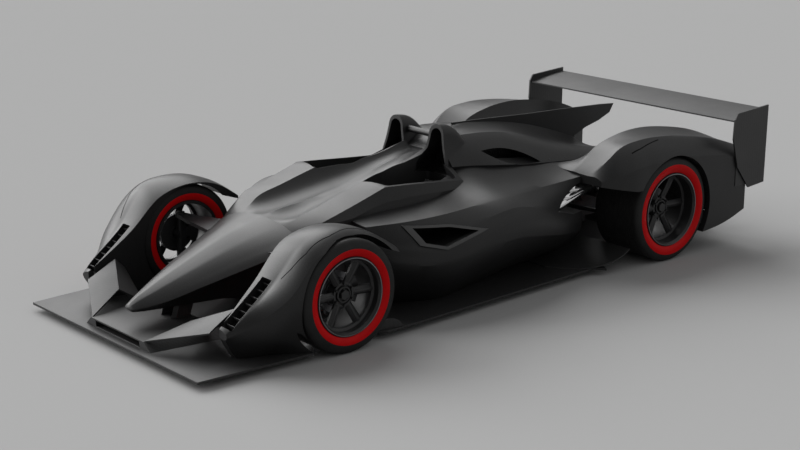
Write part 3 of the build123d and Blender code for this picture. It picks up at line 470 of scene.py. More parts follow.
class Finishes:
    """Every finish on the car, built once."""

    def __init__(self) -> None:
        """Builds the materials."""
        self.skin = SatinSkin("body_skin", (0.010, 0.010, 0.0103), (0.022, 0.022, 0.0225)).material()
        self.frame_skin = SatinSkin(
            "frame_skin", (0.014, 0.014, 0.0143), (0.026, 0.026, 0.0265), roughness=(0.32, 0.40), gloss=0.8
        ).material()
        self.plate = WovenPlate("woven_plate", (0.012, 0.012, 0.0123), (0.030, 0.030, 0.0305)).material()
        self.rubber = Rubber("tyre_rubber", (0.010, 0.010, 0.010), (0.022, 0.022, 0.022), (0.55, 0.68)).material()
        self.red = Rubber(
            "red_band", (0.60, 0.003, 0.005), (0.72, 0.006, 0.008), (0.42, 0.52), depth=0.0002, gloss=0.12
        ).material()
        self.rim = Metal("satin_black_rim", (0.014, 0.014, 0.0145), (0.026, 0.026, 0.027), (0.36, 0.46), 0.0).material()
        self.edge = Metal("machined_edge", (0.20, 0.20, 0.21), (0.30, 0.30, 0.31), (0.30, 0.40)).material()
        self.iron = TurnedIron("brake_iron").material()
        self.chrome = Metal("polished_pipe", (0.78, 0.78, 0.79), (0.88, 0.88, 0.88), (0.05, 0.13)).material()
        self.dark_metal = Metal(
            "black_arm", (0.020, 0.020, 0.021), (0.036, 0.036, 0.038), (0.36, 0.48), 0.0
        ).material()
        self.cast = Metal(
            "cast_alloy", (0.16, 0.16, 0.165), (0.24, 0.24, 0.25), (0.45, 0.60), 0.8, 420.0, 0.0006
        ).material()
        self.cloth = Cloth("seat_cloth", (0.016, 0.016, 0.017), (0.034, 0.034, 0.036)).material()
        self.grip = Rubber("grip_rubber", (0.014, 0.014, 0.014), (0.026, 0.026, 0.026), (0.6, 0.75), 500.0).material()
        # Near-black finish of the fender crown beads: painted shade standing in for the dark inside a sunk line.
        self.groove_shade = Rubber(
            "black_seal", (0.0025, 0.0025, 0.0025), (0.006, 0.006, 0.006), (0.6, 0.75), gloss=0.1
        ).material()
        self.mesh = Metal("vent_mesh", (0.02, 0.02, 0.021), (0.05, 0.05, 0.052), (0.4, 0.5), 0.4).material()

    def for_slot(self, slot: str) -> Material:
        """Finish of a material slot of the record."""
        return {
            "body": self.skin, "carbon": self.plate, "tyre": self.rubber, "rim": self.rim, "brake": self.iron,
            "chrome": self.chrome, "metal": self.dark_metal, "engine": self.cast, "seat": self.cloth,
            "control": self.grip,
        }[slot]


# Mesh building


def new_piece(
    name: str, mesh: Mesh, body: str, slot: str, finishes: Sequence[Material]
) -> bpy.types.Object:
    """Makes a finished piece of a mesh.

    Args:
        name: Name of the piece.
        mesh: Its mesh, in the car's frame.
        body: Body that it rides on.
        slot: Material slot of the record; not used.
        finishes: Materials, in the order of the mesh's material indices.

    Returns:
        The piece.
    """
    mesh.name = name
    if not mesh.materials:
        for finish in finishes:
            mesh.materials.append(finish)
    piece = bpy.data.objects.new(name, mesh)
    bpy.context.scene.collection.objects.link(piece)
    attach(piece, body)
    LOG.info("%s: %d faces on %s", name, len(mesh.polygons), body)
    return piece


def new_pair(
    word: str, mesh: Mesh, slot: str, finish: Material
) -> list[tuple[str, bpy.types.Object]]:
    """Makes a piece of the chassis on the left and its mirror image on the right.

    Args:
        word: Name of the pieces, without the side.
        mesh: Mesh of the left one, in the car's frame.
        slot: Material slot of the record; not used.
        finish: Material.

    Returns:
        The word of each side, with its piece.
    """
    pair = []
    for side, shape in ((Side.LEFT, mesh), (Side.RIGHT, mirrored(mesh))):
        name = side.name.lower()
        pair.append((name, new_piece(f"{word}_{name}", shape, CHASSIS, slot, [finish])))
    return pair


def lathe(
    profile: Sequence[Pair], turns: int, band: Callable[[float, float], int] | None = None
) -> Mesh:
    """Turns a closed profile round the X axis, with U round the turn and V along the profile.

    Args:
        profile: Points of (x, radius).
        turns: Divisions round the axis.
        band: Material index from the middle x and radius of a face.

    Returns:
        The mesh.
    """
    count = len(profile)
    vertices = []
    for step in range(turns):
        angle = 2 * math.pi * step / turns
        for x, radius in profile:
            vertices.append((x, radius * math.sin(angle), radius * math.cos(angle)))
    faces = []
    for step in range(turns):
        after = (step + 1) % turns
        for index in range(count):
            up = (index + 1) % count
            faces.append((step * count + index, after * count + index, after * count + up, step * count + up))
    mesh = bpy.data.meshes.new("lathe")
    mesh.from_pydata(vertices, [], faces)
    layer = mesh.uv_layers.new(name="turned")
    for number, polygon in enumerate(mesh.polygons):
        step, index = divmod(number, count)
        corners = ((step, index), (step + 1, index), (step + 1, index + 1), (step, index + 1))
        for loop, (u, v) in zip(polygon.loop_indices, corners):
            layer.data[loop].uv = (u / turns, v / count)
        if band is not None:
            first = profile[index]
            last = profile[(index + 1) % count]
            polygon.material_index = band((first[0] + last[0]) / 2, (first[1] + last[1]) / 2)
    face_out(mesh)
    return mesh


def shade(mesh: Mesh, crease: float = EDGE_ANGLE) -> None:
    """Shades a mesh smooth, with edges above an angle in degrees kept sharp."""
    mesh.shade_smooth()
    mesh.set_sharp_from_angle(angle=math.radians(crease))


def face_out(mesh: Mesh, crease: float = EDGE_ANGLE) -> None:
    """Merges doubles, turns every face of closed shells outwards and shades them smooth.

    Args:
        mesh: Mesh of closed shells.
        crease: Angle in degrees above which an edge stays sharp.
    """
    work = bmesh.new()
    work.from_mesh(mesh)
    bmesh.ops.remove_doubles(work, verts=work.verts, dist=1e-6)
    bmesh.ops.recalc_face_normals(work, faces=work.faces)
    work.to_mesh(mesh)
    work.free()
    shade(mesh, crease)


def stacked(rows: Sequence[Sequence[Sequence[float]]], crease: float = EDGE_ANGLE) -> Mesh:
    """Closed skin over rows of points, with flat ends.

    Args:
        rows: Rings of equally many points, in metres.
        crease: Angle in degrees above which an edge stays sharp.

    Returns:
        The mesh.
    """
    count = len(rows[0])
    last = (len(rows) - 1) * count
    faces: list[tuple[int, ...]] = [tuple(range(count)), tuple(range(last + count - 1, last - 1, -1))]
    for row in range(0, last, count):
        for index in range(count):
            after = (index + 1) % count
            faces.append((row + index, row + after, row + count + after, row + count + index))
    mesh = bpy.data.meshes.new("stack")
    mesh.from_pydata([tuple(point) for row in rows for point in row], [], faces)
    face_out(mesh, crease)
    return mesh


def arc(
    first: Pair, through: Pair, last: Pair, count: int
) -> list[Pair]:
    """Points on the arc through three points.

    Args:
        first: Start.
        through: Any point between.
        last: End.
        count: Number of points, both ends included.

    Returns:
        The points, in order.
    """
    ax, ay = first
    bx, by = through
    cx, cy = last
    d = 2 * (ax * (by - cy) + bx * (cy - ay) + cx * (ay - by))
    ux = ((ax ** 2 + ay ** 2) * (by - cy) + (bx ** 2 + by ** 2) * (cy - ay) + (cx ** 2 + cy ** 2) * (ay - by)) / d
    uy = ((ax ** 2 + ay ** 2) * (cx - bx) + (bx ** 2 + by ** 2) * (ax - cx) + (cx ** 2 + cy ** 2) * (bx - ax)) / d
    radius = math.hypot(ax - ux, ay - uy)
    start = math.atan2(ay - uy, ax - ux)
    middle = (math.atan2(by - uy, bx - ux) - start) % (2 * math.pi)
    end = (math.atan2(cy - uy, cx - ux) - start) % (2 * math.pi)
    if middle > end:
        end -= 2 * math.pi
    return [
        (ux + radius * math.cos(start + end * i / (count - 1)), uy + radius * math.sin(start + end * i / (count - 1)))
        for i in range(count)
    ]


def mirrored(mesh: Mesh) -> Mesh:
    """Copy of a mesh on the other side of the car."""
    copy = mesh.copy()
    copy.transform(Matrix.Diagonal((-1, 1, 1, 1)))
    copy.flip_normals()
    return copy


def block_mesh(size: Point, bevel: float, steps: int = 2) -> Mesh:
    """Box with rounded edges, centred on the origin.

    Args:
        size: Full size on each axis.
        bevel: Radius of the edges.
        steps: Segments of the rounding.

    Returns:
        The mesh.
    """
    work = bmesh.new()
    bmesh.ops.create_cube(work, size=1.0, matrix=Matrix.Diagonal((*size, 1)))
    bmesh.ops.bevel(work, geom=work.edges[:], offset=bevel, segments=steps, affect="EDGES", profile=0.5)
    mesh = bpy.data.meshes.new("block")
    work.to_mesh(mesh)
    work.free()
    shade(mesh, BLOCK_ANGLE)
    return mesh


def joined(meshes: Iterable[Mesh]) -> Mesh:
    """One mesh of several, with their material indices and UVs kept."""
    work = bmesh.new()
    for mesh in meshes:
        work.from_mesh(mesh)
    result = bpy.data.meshes.new("joined")
    work.to_mesh(result)
    work.free()
    return result


def tube(path: Sequence[Vector], radius: float, sides: int = 10, closed: bool = False) -> Mesh:
    """Round bead along a path.

    Args:
        path: Points along the middle.
        radius: Radius of the bead.
        sides: Divisions round the bead.
        closed: Whether the path is a loop.

    Returns:
        The mesh.
    """
    curve = bpy.data.curves.new("bead", "CURVE")
    curve.dimensions = "3D"
    spline = curve.splines.new("POLY")
    spline.points.add(len(path) - 1)
    for point, place in zip(spline.points, path):
        point.co = (*place, 1.0)
    spline.use_cyclic_u = closed
    curve.bevel_depth = radius
    curve.bevel_resolution = max(sides // 4 - 1, 0)
    curve.use_fill_caps = True
    holder = bpy.data.objects.new("bead", curve)
    bpy.context.scene.collection.objects.link(holder)
    mesh = baked(holder)
    bpy.data.objects.remove(holder)
    face_out(mesh)
    return mesh


def baked(holder: bpy.types.Object) -> Mesh:
    """Plain mesh of an object with its modifiers or curve worked out."""
    graph = bpy.context.evaluated_depsgraph_get()
    graph.update()
    return bpy.data.meshes.new_from_object(holder.evaluated_get(graph))


class Surface:
    """A panel's skin, to seat pieces on."""

    look_from: float = 1.2

    def __init__(self, mesh: Mesh) -> None:
        """Gathers the faces of the mesh."""
        faces = [list(polygon.vertices) for polygon in mesh.polygons]
        self.tree = BVHTree.FromPolygons([v.co.copy() for v in mesh.vertices], faces)

    def below(self, places: Iterable[Pair]) -> list[tuple[Vector, Vector]]:
        """Points of the skin straight below places in X and Y, each with its outward direction."""
        seats = []
        for x, y in places:
            place, normal, _, _ = self.tree.ray_cast(Vector((x, y, self.look_from)), Vector((0, 0, -1)))
            if place is not None:
                seats.append((place, -normal if normal.z < 0 else normal))
        return seats


class RepeatTree:
    """Geometry Nodes tree that repeats a part and leaves a plain mesh."""

    def __init__(self, name: str, sockets: dict[str, str]) -> None:
        """Starts the tree with its part, finish and other named inputs.

        Args:
            name: Name of the tree.
            sockets: Name and socket type of each further input.
        """
        self.tree = bpy.data.node_groups.new(name, "GeometryNodeTree")
        face = self.tree.interface
        face.new_socket(name="Geometry", in_out="INPUT", socket_type="NodeSocketGeometry")
        face.new_socket(name="Geometry", in_out="OUTPUT", socket_type="NodeSocketGeometry")
        self.keys: dict[str, str] = {}
        wanted = {"Part": "NodeSocketObject", "Finish": "NodeSocketMaterial", **sockets}
        for key, kind in wanted.items():
            self.keys[key] = face.new_socket(name=key, in_out="INPUT", socket_type=kind).identifier
        self.entry = self.tree.nodes.new("NodeGroupInput")
        self.part = put(self.tree, "GeometryNodeObjectInfo", Object=self.entry.outputs["Part"])

    def close(self, points: Socket, turn: Socket) -> None:
        """Puts the part on the points, realizes it and sets its finish.

        Args:
            points: Geometry whose points take the part.
            turn: Rotation of each part.
        """
        tree = self.tree
        copies = put(tree, "GeometryNodeInstanceOnPoints", Points=points, Instance=self.part.outputs["Geometry"])
        tree.links.new(turn, copies.inputs["Rotation"])
        real = put(tree, "GeometryNodeRealizeInstances", Geometry=copies.outputs["Instances"])
        done = put(tree, "GeometryNodeSetMaterial", Geometry=real.outputs["Geometry"])
        tree.links.new(self.entry.outputs["Finish"], done.inputs["Material"])
        leave = tree.nodes.new("NodeGroupOutput")
        tree.links.new(done.outputs["Geometry"], leave.inputs["Geometry"])

    def run(
        self, part: Mesh, finish: Material, base: Mesh | None = None, **values: Any
    ) -> Mesh:
        """Runs the tree and returns a plain mesh.

        Args:
            part: Mesh that is repeated.
            finish: Material of the result.
            base: Mesh whose vertices are the places, where the tree takes them.
            **values: Values of the further inputs.

        Returns:
            The mesh.
        """
        scene = bpy.context.scene.collection.objects
        seed = bpy.data.objects.new("repeat_part", part)
        holder = bpy.data.objects.new("repeat_holder", base or bpy.data.meshes.new("empty"))
        scene.link(seed)
        scene.link(holder)
        modifier = holder.modifiers.new("repeat", "NODES")
        modifier.node_group = self.tree
        for key, value in {"Part": seed, "Finish": finish, **values}.items():
            modifier[self.keys[key]] = value
        mesh = baked(holder)
        holder.modifiers.remove(modifier)
        bpy.data.objects.remove(holder)
        bpy.data.objects.remove(seed)
        return mesh


def ring_tree() -> RepeatTree:
    """Tree that sets Count parts round the X axis."""
    made = RepeatTree("parts_round_axle", {"Count": "NodeSocketInt", "Start": "NodeSocketFloat"})
    tree = made.tree
    line = put(tree, "GeometryNodeMeshLine", Count=made.entry.outputs["Count"], Offset=(0.0, 0.0, 0.0))
    index = tree.nodes.new("GeometryNodeInputIndex").outputs["Index"]
    share = reckon(tree, "DIVIDE", index, made.entry.outputs["Count"])
    angle = reckon(tree, "ADD", reckon(tree, "MULTIPLY", share, 2 * math.pi), made.entry.outputs["Start"])
    euler = put(tree, "ShaderNodeCombineXYZ", X=angle)
    turn = put(tree, "FunctionNodeEulerToRotation", Euler=euler.outputs["Vector"])
    made.close(line.outputs["Mesh"], turn.outputs["Rotation"])
    return made


def row_tree() -> RepeatTree:
    """Tree that sets Count parts in a row, Step apart."""
    made = RepeatTree("parts_in_row", {
        "Count": "NodeSocketInt", "First": "NodeSocketVector", "Step": "NodeSocketVector", "Turn": "NodeSocketVector",
    })
    tree = made.tree
    line = put(
        tree, "GeometryNodeMeshLine", Count=made.entry.outputs["Count"],
        Start_Location=made.entry.outputs["First"], Offset=made.entry.outputs["Step"],
    )
    turn = put(tree, "FunctionNodeEulerToRotation", Euler=made.entry.outputs["Turn"])
    made.close(line.outputs["Mesh"], turn.outputs["Rotation"])
    return made


def seat_tree() -> RepeatTree:
    """Tree that stands a part on every vertex, along its stored facing."""
    made = RepeatTree("parts_on_skin", {})
    tree = made.tree
    facing = put(tree, "GeometryNodeInputNamedAttribute", {"data_type": "FLOAT_VECTOR"}, Name="facing")
    turn = put(tree, "FunctionNodeAlignRotationToVector", {"axis": "Z"}, Vector=facing.outputs["Attribute"])
    made.close(made.entry.outputs["Geometry"], turn.outputs["Rotation"])
    return made


RING = ring_tree()
ROW = row_tree()
ON_SKIN = seat_tree()


# Wheels


@dataclass(frozen=True)
class WheelSizes:
    """Sizes of the wheels of one axle."""

    radius: float
    width: float
    rim: float
    dish: float
    band: Pair
    grooves: int
    centre: Point


WHEEL_SIZES = {
    Axle.FRONT: WheelSizes(0.338, 0.310, 0.234, 0.078, (0.2375, 0.2835), 9, (0.830, FRONT_AXLE_Y, 0.338)),
    Axle.REAR: WheelSizes(0.358, 0.400, 0.250, 0.112, (0.2545, 0.3120), 15, (0.770, REAR_AXLE_Y, 0.358)),
}


@dataclass
class RoadWheel:
    """One wheel: its tyre with the red band, its trim and its brake disc."""

    axle: Axle
    side: Side
    flange_height: float = 0.012
    flange_thickness: float = 0.008
    seat_gap: float = 0.0003
    shoulder: float = 0.026
    groove_width: float = 0.0032
    groove_depth: float = 0.0022
    spoke_count: int = 6
    spoke_thickness: float = 0.024
    hub_radius: float = 0.074
    hub_length: float = 0.062
    disc_radius: float = 0.124
    disc_thickness: float = 0.028
    disc_band: float = 0.046
    spindle_radius: float = 0.032
    band_rise: float = 0.0007
    lip_steps: Pair = (0.0012, -0.002)
    lip_drops: Pair = (0.0075, 0.0035)
    stud_profile: tuple[Pair, ...] = (
        (-0.003, 0.0), (0.009, 0.0), (0.012, 0.0045), (0.012, 0.0060), (0.0085, 0.0075), (-0.003, 0.0075),
    )
    stud_count: int = 6
    stud_inset: float = 0.0085
    collar_profile: tuple[Pair, ...] = (
        (-0.011, 0.0385), (0.004, 0.0385), (0.006, 0.0405), (0.006, 0.0475), (0.003, 0.0500), (-0.011, 0.0500),
    )
    rib_rows: Rows = (
        (0.0, 0.004, 0.003), (0.12, 0.006, 0.006), (0.85, 0.010, 0.006), (1.0, 0.012, 0.003),
    )
    vane_size: Point = (0.0085, 0.0022, 0.006)
    vane_count: int = 72
    vane_inset: float = 0.004
    turns: int = 160

    @property
    def name(self) -> str:
        """Name of the wheel, as its body has it."""
        return f"{self.axle.value}_{self.side.name.lower()}"

    @property
    def sizes(self) -> WheelSizes:
        """Sizes of this axle's wheels."""
        return WHEEL_SIZES[self.axle]

    @property
    def hub_back(self) -> float:
        """Inner end of the hub, from the tyre's centre plane."""
        size = self.sizes
        return size.width / 2 - size.dish - self.hub_length + self.spoke_thickness / 2 - 0.010

    def placed(self, mesh: Mesh) -> Mesh:
        """Moves a mesh from the wheel's own axle to its place on the car."""
        if self.side is Side.RIGHT:
            mesh.transform(Matrix.Diagonal((-1, 1, 1, 1)))
            mesh.flip_normals()
        x, y, z = self.sizes.centre
        mesh.transform(Matrix.Translation((x * self.side.value, y, z)))
        return mesh

    def piece(self, word: str, mesh: Mesh, slot: str, *finishes: Material) -> bpy.types.Object:
        """Makes a piece of this wheel from a mesh on the wheel's own axle."""
        return new_piece(f"{self.name}_{word}", self.placed(mesh), f"{self.name}_wheel", slot, finishes)

    def tread(self) -> list[Pair]:
        """Half of the tread's profile, from the shoulder to the middle, with its grooves."""
        size = self.sizes
        flat = size.width / 2 - 1.4 * self.shoulder
        pitch = 2 * flat / (size.grooves + 1)
        half = self.groove_width / 2
        points = [(flat, size.radius)]
        low = size.radius - self.groove_depth
        for number in range(size.grooves, 0, -1):
            x = pitch * number - flat
            if x < -1e-6:
                break
            if x < 1e-6:
                points += [(half, size.radius), (half * 0.5, low)]
            else:
                points += [(x + half, size.radius), (x + half * 0.5, low)]
                points += [(x - half * 0.5, low), (x - half, size.radius)]
        return points

    def profile(self) -> list[Pair]:
        """Closed profile of the tyre, (x, radius)."""
        size = self.sizes
        half = size.width / 2
        seat = size.rim - self.flange_height + self.seat_gap
        bead = half - 2 * self.flange_thickness - self.seat_gap
        belly = (seat + size.radius) / 2 + 0.008
        edge = half - 0.005
        flat = half - 1.4 * self.shoulder
        low = size.radius - self.shoulder
        wall = arc((bead, seat + self.flange_height), (half - 0.0004, belly), (edge, low), 27)
        side = self.with_steps(wall, size.band, self.band_rise)
        bend_radius = ((edge - flat) ** 2 + self.shoulder ** 2) / (2 * self.shoulder)
        turn = math.asin((edge - flat) / bend_radius) / 2
        bend = (flat + bend_radius * math.sin(turn), size.radius - bend_radius * (1 - math.cos(turn)))
        crown = arc((edge, low), bend, (flat, size.radius), 9)[1:-1]
        right = [(bead, seat)] + side + crown + self.tread()
        left = [(-x, radius) for x, radius in reversed(right)]
        if abs(right[-1][0]) < 1e-9:
            left = left[1:]
        return right + left

    @staticmethod
    def with_steps(
        side: list[Pair], edges: Pair, height: float
    ) -> list[Pair]:
        """Raises the band between two radii by a small step.

        Args:
            side: Points of the side wall, by rising radius.
            edges: Inner and outer radius of the band.
            height: Height of the step.

        Returns:
            The points, with the band's edges added.
        """
        inner, outer = edges

        def at(radius: float) -> float:
            for (x0, r0), (x1, r1) in zip(side, side[1:]):
                if r0 <= radius <= r1:
                    return x0 + (x1 - x0) * (radius - r0) / (r1 - r0)
            return side[-1][0]

        made = [p for p in side if p[1] < inner - 0.001]
        made += [(at(inner), inner), (at(inner) + height, inner + 0.0008)]
        made += [(x + height, r) for x, r in side if inner + 0.002 < r < outer - 0.002]
        made += [(at(outer) + height, outer - 0.0008), (at(outer), outer)]
        made += [p for p in side if p[1] > outer + 0.001]
        return made

    def build_tyre(self, finishes: Finishes) -> None:
        """Makes the tyre, which stands for the CAD one."""
        inner, outer = self.sizes.band

        def band(x: float, radius: float) -> int:
            return int(inner < radius < outer and abs(x) > self.sizes.width / 2 - 0.03)

        mesh = lathe(self.profile(), self.turns, band)
        tyre = self.piece("tyre_dressed", mesh, "tyre", finishes.rubber, finishes.red)
        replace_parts(tyre, f"{self.name}_tyre")

    def build_trim(self, finishes: Finishes) -> None:
        """Makes the machined lip, the spoke ribs, the nut's ring and its studs."""
        size = self.sizes
        half = size.width / 2
        out, back = (half - self.flange_thickness + step for step in self.lip_steps)
        low, top = (size.rim - drop for drop in self.lip_drops)
        lip = lathe([(out, low), (out, top), (back, top), (back, low)], self.turns)
        self.piece("rim_lip", lip, "rim", finishes.edge)
        face = self.hub_back + self.hub_length
        high = size.rim - self.flange_height - 0.012
        inner = Vector((face - 0.004 - 0.001, 0, self.hub_radius - 0.014))
        outer = Vector((half - size.dish + self.spoke_thickness / 2 - 0.001, 0, high))
        rib = self.rib_mesh(inner, outer)
        ribs = RING.run(rib, finishes.rim, Count=self.spoke_count, Start=math.pi / self.spoke_count)
        stud = lathe([(face + x, radius) for x, radius in self.stud_profile], 12)
        stud.transform(Matrix.Translation((0, 0, self.hub_radius - self.stud_inset)))
        studs = RING.run(stud, finishes.rim, Count=self.stud_count, Start=0.0)
        collar = lathe([(face + x, radius) for x, radius in self.collar_profile], 64)
        for word, mesh in (("spoke_ribs", ribs), ("hub_studs", studs), ("hub_collar", collar)):
            self.piece(word, mesh, "rim", finishes.rim)

    def rib_mesh(self, inner: Vector, outer: Vector) -> Mesh:
        """Raised rib along one spoke, widening to the rim.

        Args:
            inner: Foot of the rib at the hub.
            outer: End of the rib at the rim.

        Returns:
            The mesh.
        """
        rows = []
        for share, half, rise in self.rib_rows:
            middle = inner.lerp(outer, share)
            section = (
                (-0.003, -half - 0.004), (rise * 0.7, -half), (rise, -half + 0.003), (rise, half - 0.003),
                (rise * 0.7, half), (-0.003, half + 0.004),
            )
            rows.append([middle + Vector((x, y, 0)) for x, y in section])
        return stacked(rows)

    def build_disc(self, finishes: Finishes) -> None:
        """Makes the vented brake disc, which stands for the CAD one."""
        back = self.hub_back - self.disc_thickness - 0.008
        front = back + self.disc_thickness
        high = self.disc_radius
        low = high - self.disc_band + 0.006
        eye = self.spindle_radius + 0.006
        plate = lathe([
            (back, eye), (back, high - 0.001), (back + 0.001, high), (back + 0.009, high), (back + 0.010, high - 0.004),
            (front - 0.010, high - 0.004), (front - 0.009, high), (front - 0.001, high), (front, high - 0.001),
            (front, low + 0.002), (front - 0.002, low), (self.hub_back, low - 0.002), (self.hub_back, eye),
        ], 128)
        vane = block_mesh(self.vane_size, 0.0006, 1)
        vane.transform(Matrix.Translation(((back + front) / 2, 0, high - self.vane_inset)))
        vanes = RING.run(vane, finishes.iron, Count=self.vane_count, Start=0.0)
        disc = self.piece("disc_dressed", joined((plate, vanes)), "brake", finishes.iron)
        shade(disc.data)
        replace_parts(disc, f"{self.name}_disc")

    def build(self, finishes: Finishes) -> None:
        """Builds the whole wheel."""
        self.build_tyre(finishes)
        self.build_trim(finishes)
        self.build_disc(finishes)


# Cockpit


@dataclass
class SeatPads:
    """Padded seat on each side: a cushion and a back with sewn channels."""

    inner_x: float = 0.162
    outer_x: float = 0.390
    front: Point = (0.0, station(0.322), 0.205)
    hinge: Point = (0.0, station(0.392), 0.168)
    top: Point = (0.0, station(0.452), 0.690)
    thickness: float = 0.034
    floor: float = 0.120
    inset: float = 0.006
    voxel: float = 0.006
    cap: float = 0.010
    pressure: float = 4.0
    last_frame: int = 18
    channel_depth: float = 0.0045
    channel_width: float = 0.007

    def prism(self, outline: Sequence[Pair]) -> Mesh:
        """Closed block between the seat's sides from an outline in Y and Z."""
        sides = (self.inner_x + self.inset, self.outer_x - self.inset)
        return stacked([[(x, y, z) for y, z in outline] for x in sides])

    def swell(self, mesh: Mesh) -> Mesh:
        """Fills a block out like a stuffed pad, with each point's way capped.

        Args:
            mesh: Slightly small closed block.

        Returns:
            The filled mesh.
        """
        holder = bpy.data.objects.new("pad", mesh)
        bpy.context.scene.collection.objects.link(holder)
        remesh = holder.modifiers.new("remesh", "REMESH")
        remesh.mode = "VOXEL"
        remesh.voxel_size = self.voxel
        body = baked(holder)
        holder.modifiers.remove(remesh)
        holder.data = body
        still = [v.co.copy() for v in body.vertices]
        cloth = holder.modifiers.new("cloth", "CLOTH")
        cloth.settings.use_pressure = True
        cloth.settings.uniform_pressure_force = self.pressure
        cloth.settings.effector_weights.gravity = 0.0
        scene = bpy.context.scene
        for number in range(1, self.last_frame + 1):
            scene.frame_set(number)
        moved = baked(holder)
        holder.modifiers.remove(cloth)
        for vertex, start in zip(moved.vertices, still):
            way = vertex.co - start
            if way.length > self.cap:
                way *= self.cap / way.length
            vertex.co = start + way
        scene.frame_set(1)
        body = moved
        holder.data = body
        smooth = holder.modifiers.new("smooth", "SMOOTH")
        smooth.iterations = 4
        smooth.factor = 0.5
        body = baked(holder)
        bpy.data.objects.remove(holder)
        return body

    def sew(self, mesh: Mesh, start: Vector, end: Vector, count: int) -> None:
        """Presses sewn channels across a pad.

        Args:
            mesh: Pad.
            start: First end of the pad.
            end: Last end of the pad.
            count: Number of panels between the channels.
        """
        along = end - start
        for vertex in mesh.vertices:
            share = (vertex.co - start).dot(along) / along.length_squared
            nearest = min(max(round(share * count), 1), count - 1) / count
            gap = (share - nearest) * along.length / self.channel_width
            vertex.co -= vertex.normal * self.channel_depth * math.exp(-gap * gap)
        mesh.shade_smooth()

    def build(self, finishes: Finishes) -> None:
        """Makes both seats' pads, which stand for the CAD seats."""
        wall = self.inset
        cushion = [
            (self.front[1] + wall, self.front[2] - wall), (self.hinge[1], self.hinge[2] - wall),
            (self.hinge[1] + 0.012, self.floor + wall), (self.front[1] + wall, self.floor + wall),
        ]
        lift = 0.012
        back = [
            (self.hinge[1] + 0.004, self.hinge[2] + lift), (self.top[1] + wall, self.top[2] - wall),
            (self.top[1] + self.thickness - wall, self.top[2] - 0.010 - wall),
            (self.hinge[1] + self.thickness - wall, self.hinge[2] + lift),
        ]
        plans = (
            ("seat_cushion", cushion, Vector(self.front), Vector(self.hinge), 4),
            ("seat_back", back, Vector(self.hinge), Vector(self.top), 7),
        )
        for word, outline, start, end, count in plans:
            mesh = self.swell(self.prism(outline))
            self.sew(mesh, start, end, count)
            for _, pad in new_pair(word, mesh, "seat", finishes.cloth):
                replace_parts(pad, "seats")


@dataclass
class SteeringWheel:
    """Small flattened wheel with grips, a plate of buttons and its column."""

    middle: Point = (0.295, station(0.268), 0.600)
    lean: float = 0.30
    half_width: float = 0.104
    half_height: float = 0.078
    grip: float = 0.0125
    square: float = 0.62
    points: int = 72
    column: float = 0.158
    button_x: float = 0.054

    def plane(self) -> Matrix:
        """Frame of the wheel: X across, Y up the wheel, Z toward the driver."""
        toward = Vector((0, 1, self.lean)).normalized()
        across = Vector((-1, 0, 0))
        up = toward.cross(across)
        turn = Matrix((across, up, toward)).transposed().to_4x4()
        return Matrix.Translation(self.middle) @ turn

    def build(self, finishes: Finishes) -> None:
        """Makes the wheel, which stands for the CAD one."""
        loop = []
        for step in range(self.points):
            angle = 2 * math.pi * step / self.points
            c, s = math.cos(angle), math.sin(angle)
            x = self.half_width * math.copysign(abs(c) ** self.square, c)
            y = self.half_height * math.copysign(abs(s) ** self.square, s)
            loop.append(Vector((x, y, 0)))
        rim = tube(loop, self.grip, 16, True)
        plate = block_mesh((0.150, 0.096, 0.016), 0.006, 3)
        screen = block_mesh((0.062, 0.034, 0.004), 0.0015, 2)
        screen.transform(Matrix.Translation((0, 0.014, 0.009)))
        bars = block_mesh((0.196, 0.026, 0.010), 0.004, 2)
        post = lathe([
            (-0.006, 0.0), (-0.006, 0.034), (-0.022, 0.034), (-0.026, 0.022),
            (-self.column, 0.018), (-self.column, 0.0),
        ], 32)
        button = lathe([(0.0, 0.0), (0.0, 0.0055), (0.004, 0.0055), (0.0055, 0.004), (0.0055, 0.0)], 14)
        for turned in (post, button):
            turned.transform(Matrix.Rotation(-math.pi / 2, 4, "Y"))
        shells = [
            (rim, finishes.grip), (plate, finishes.plate), (screen, finishes.rim), (bars, finishes.plate),
            (post, finishes.dark_metal),
        ]
        for x in (-self.button_x, self.button_x):
            first = (x, -0.030, 0.008)
            row = ROW.run(button, finishes.edge, Count=3, First=first, Step=(0, 0.026, 0), Turn=(0, 0, 0))
            shells.append((row, finishes.edge))
        finish_list = [finishes.grip, finishes.plate, finishes.rim, finishes.dark_metal, finishes.edge]
        for mesh, finish in shells:
            number = finish_list.index(finish)
            for polygon in mesh.polygons:
                polygon.material_index = number
        whole = joined(mesh for mesh, _ in shells)
        whole.transform(self.plane())
        shade(whole, CONTROL_ANGLE)
        wheel = new_piece("steering_wheel_dressed", whole, CHASSIS, "control", finish_list)
        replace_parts(wheel, "steering_wheel")


# Body panels, drawn in millimetres


MM = 0.001
Corner = tuple[float, float, float]
Row = tuple[float, list[Corner]]
FLOOR_TOP = 54.0
CLEAR = 1200.0
ROD_SIDES = 96


def front(run: float) -> float:
    """Y in millimetres of a place run behind the front axle."""
    return FRONT_AXLE_Y / MM + run


def rear(run: float) -> float:
    """Y in millimetres of a place run behind the rear axle."""
    return REAR_AXLE_Y / MM + run


def mid(share: float) -> float:
    """Y in millimetres of a share of the wheelbase behind the front axle."""
    return station(share) / MM


def bowed(first: Corner, last: Corner, steps: int) -> list[Pair]:
    """Points from one corner up to the next, on a line or on an arc that bows to its left.

    Args:
        first: Start, with the bow as a share of the way.
        last: End, which is left out.
        steps: Number of points.

    Returns:
        The points, (x, z).
    """
    (ax, az, bow), (bx, bz, _) = first, last
    if not bow:
        return [(ax + (bx - ax) * i / steps, az + (bz - az) * i / steps) for i in range(steps)]
    middle = ((ax + bx) / 2 - (bz - az) * bow, (az + bz) / 2 + (bx - ax) * bow)
    return arc((ax, az), middle, (bx, bz), steps + 1)[:-1]


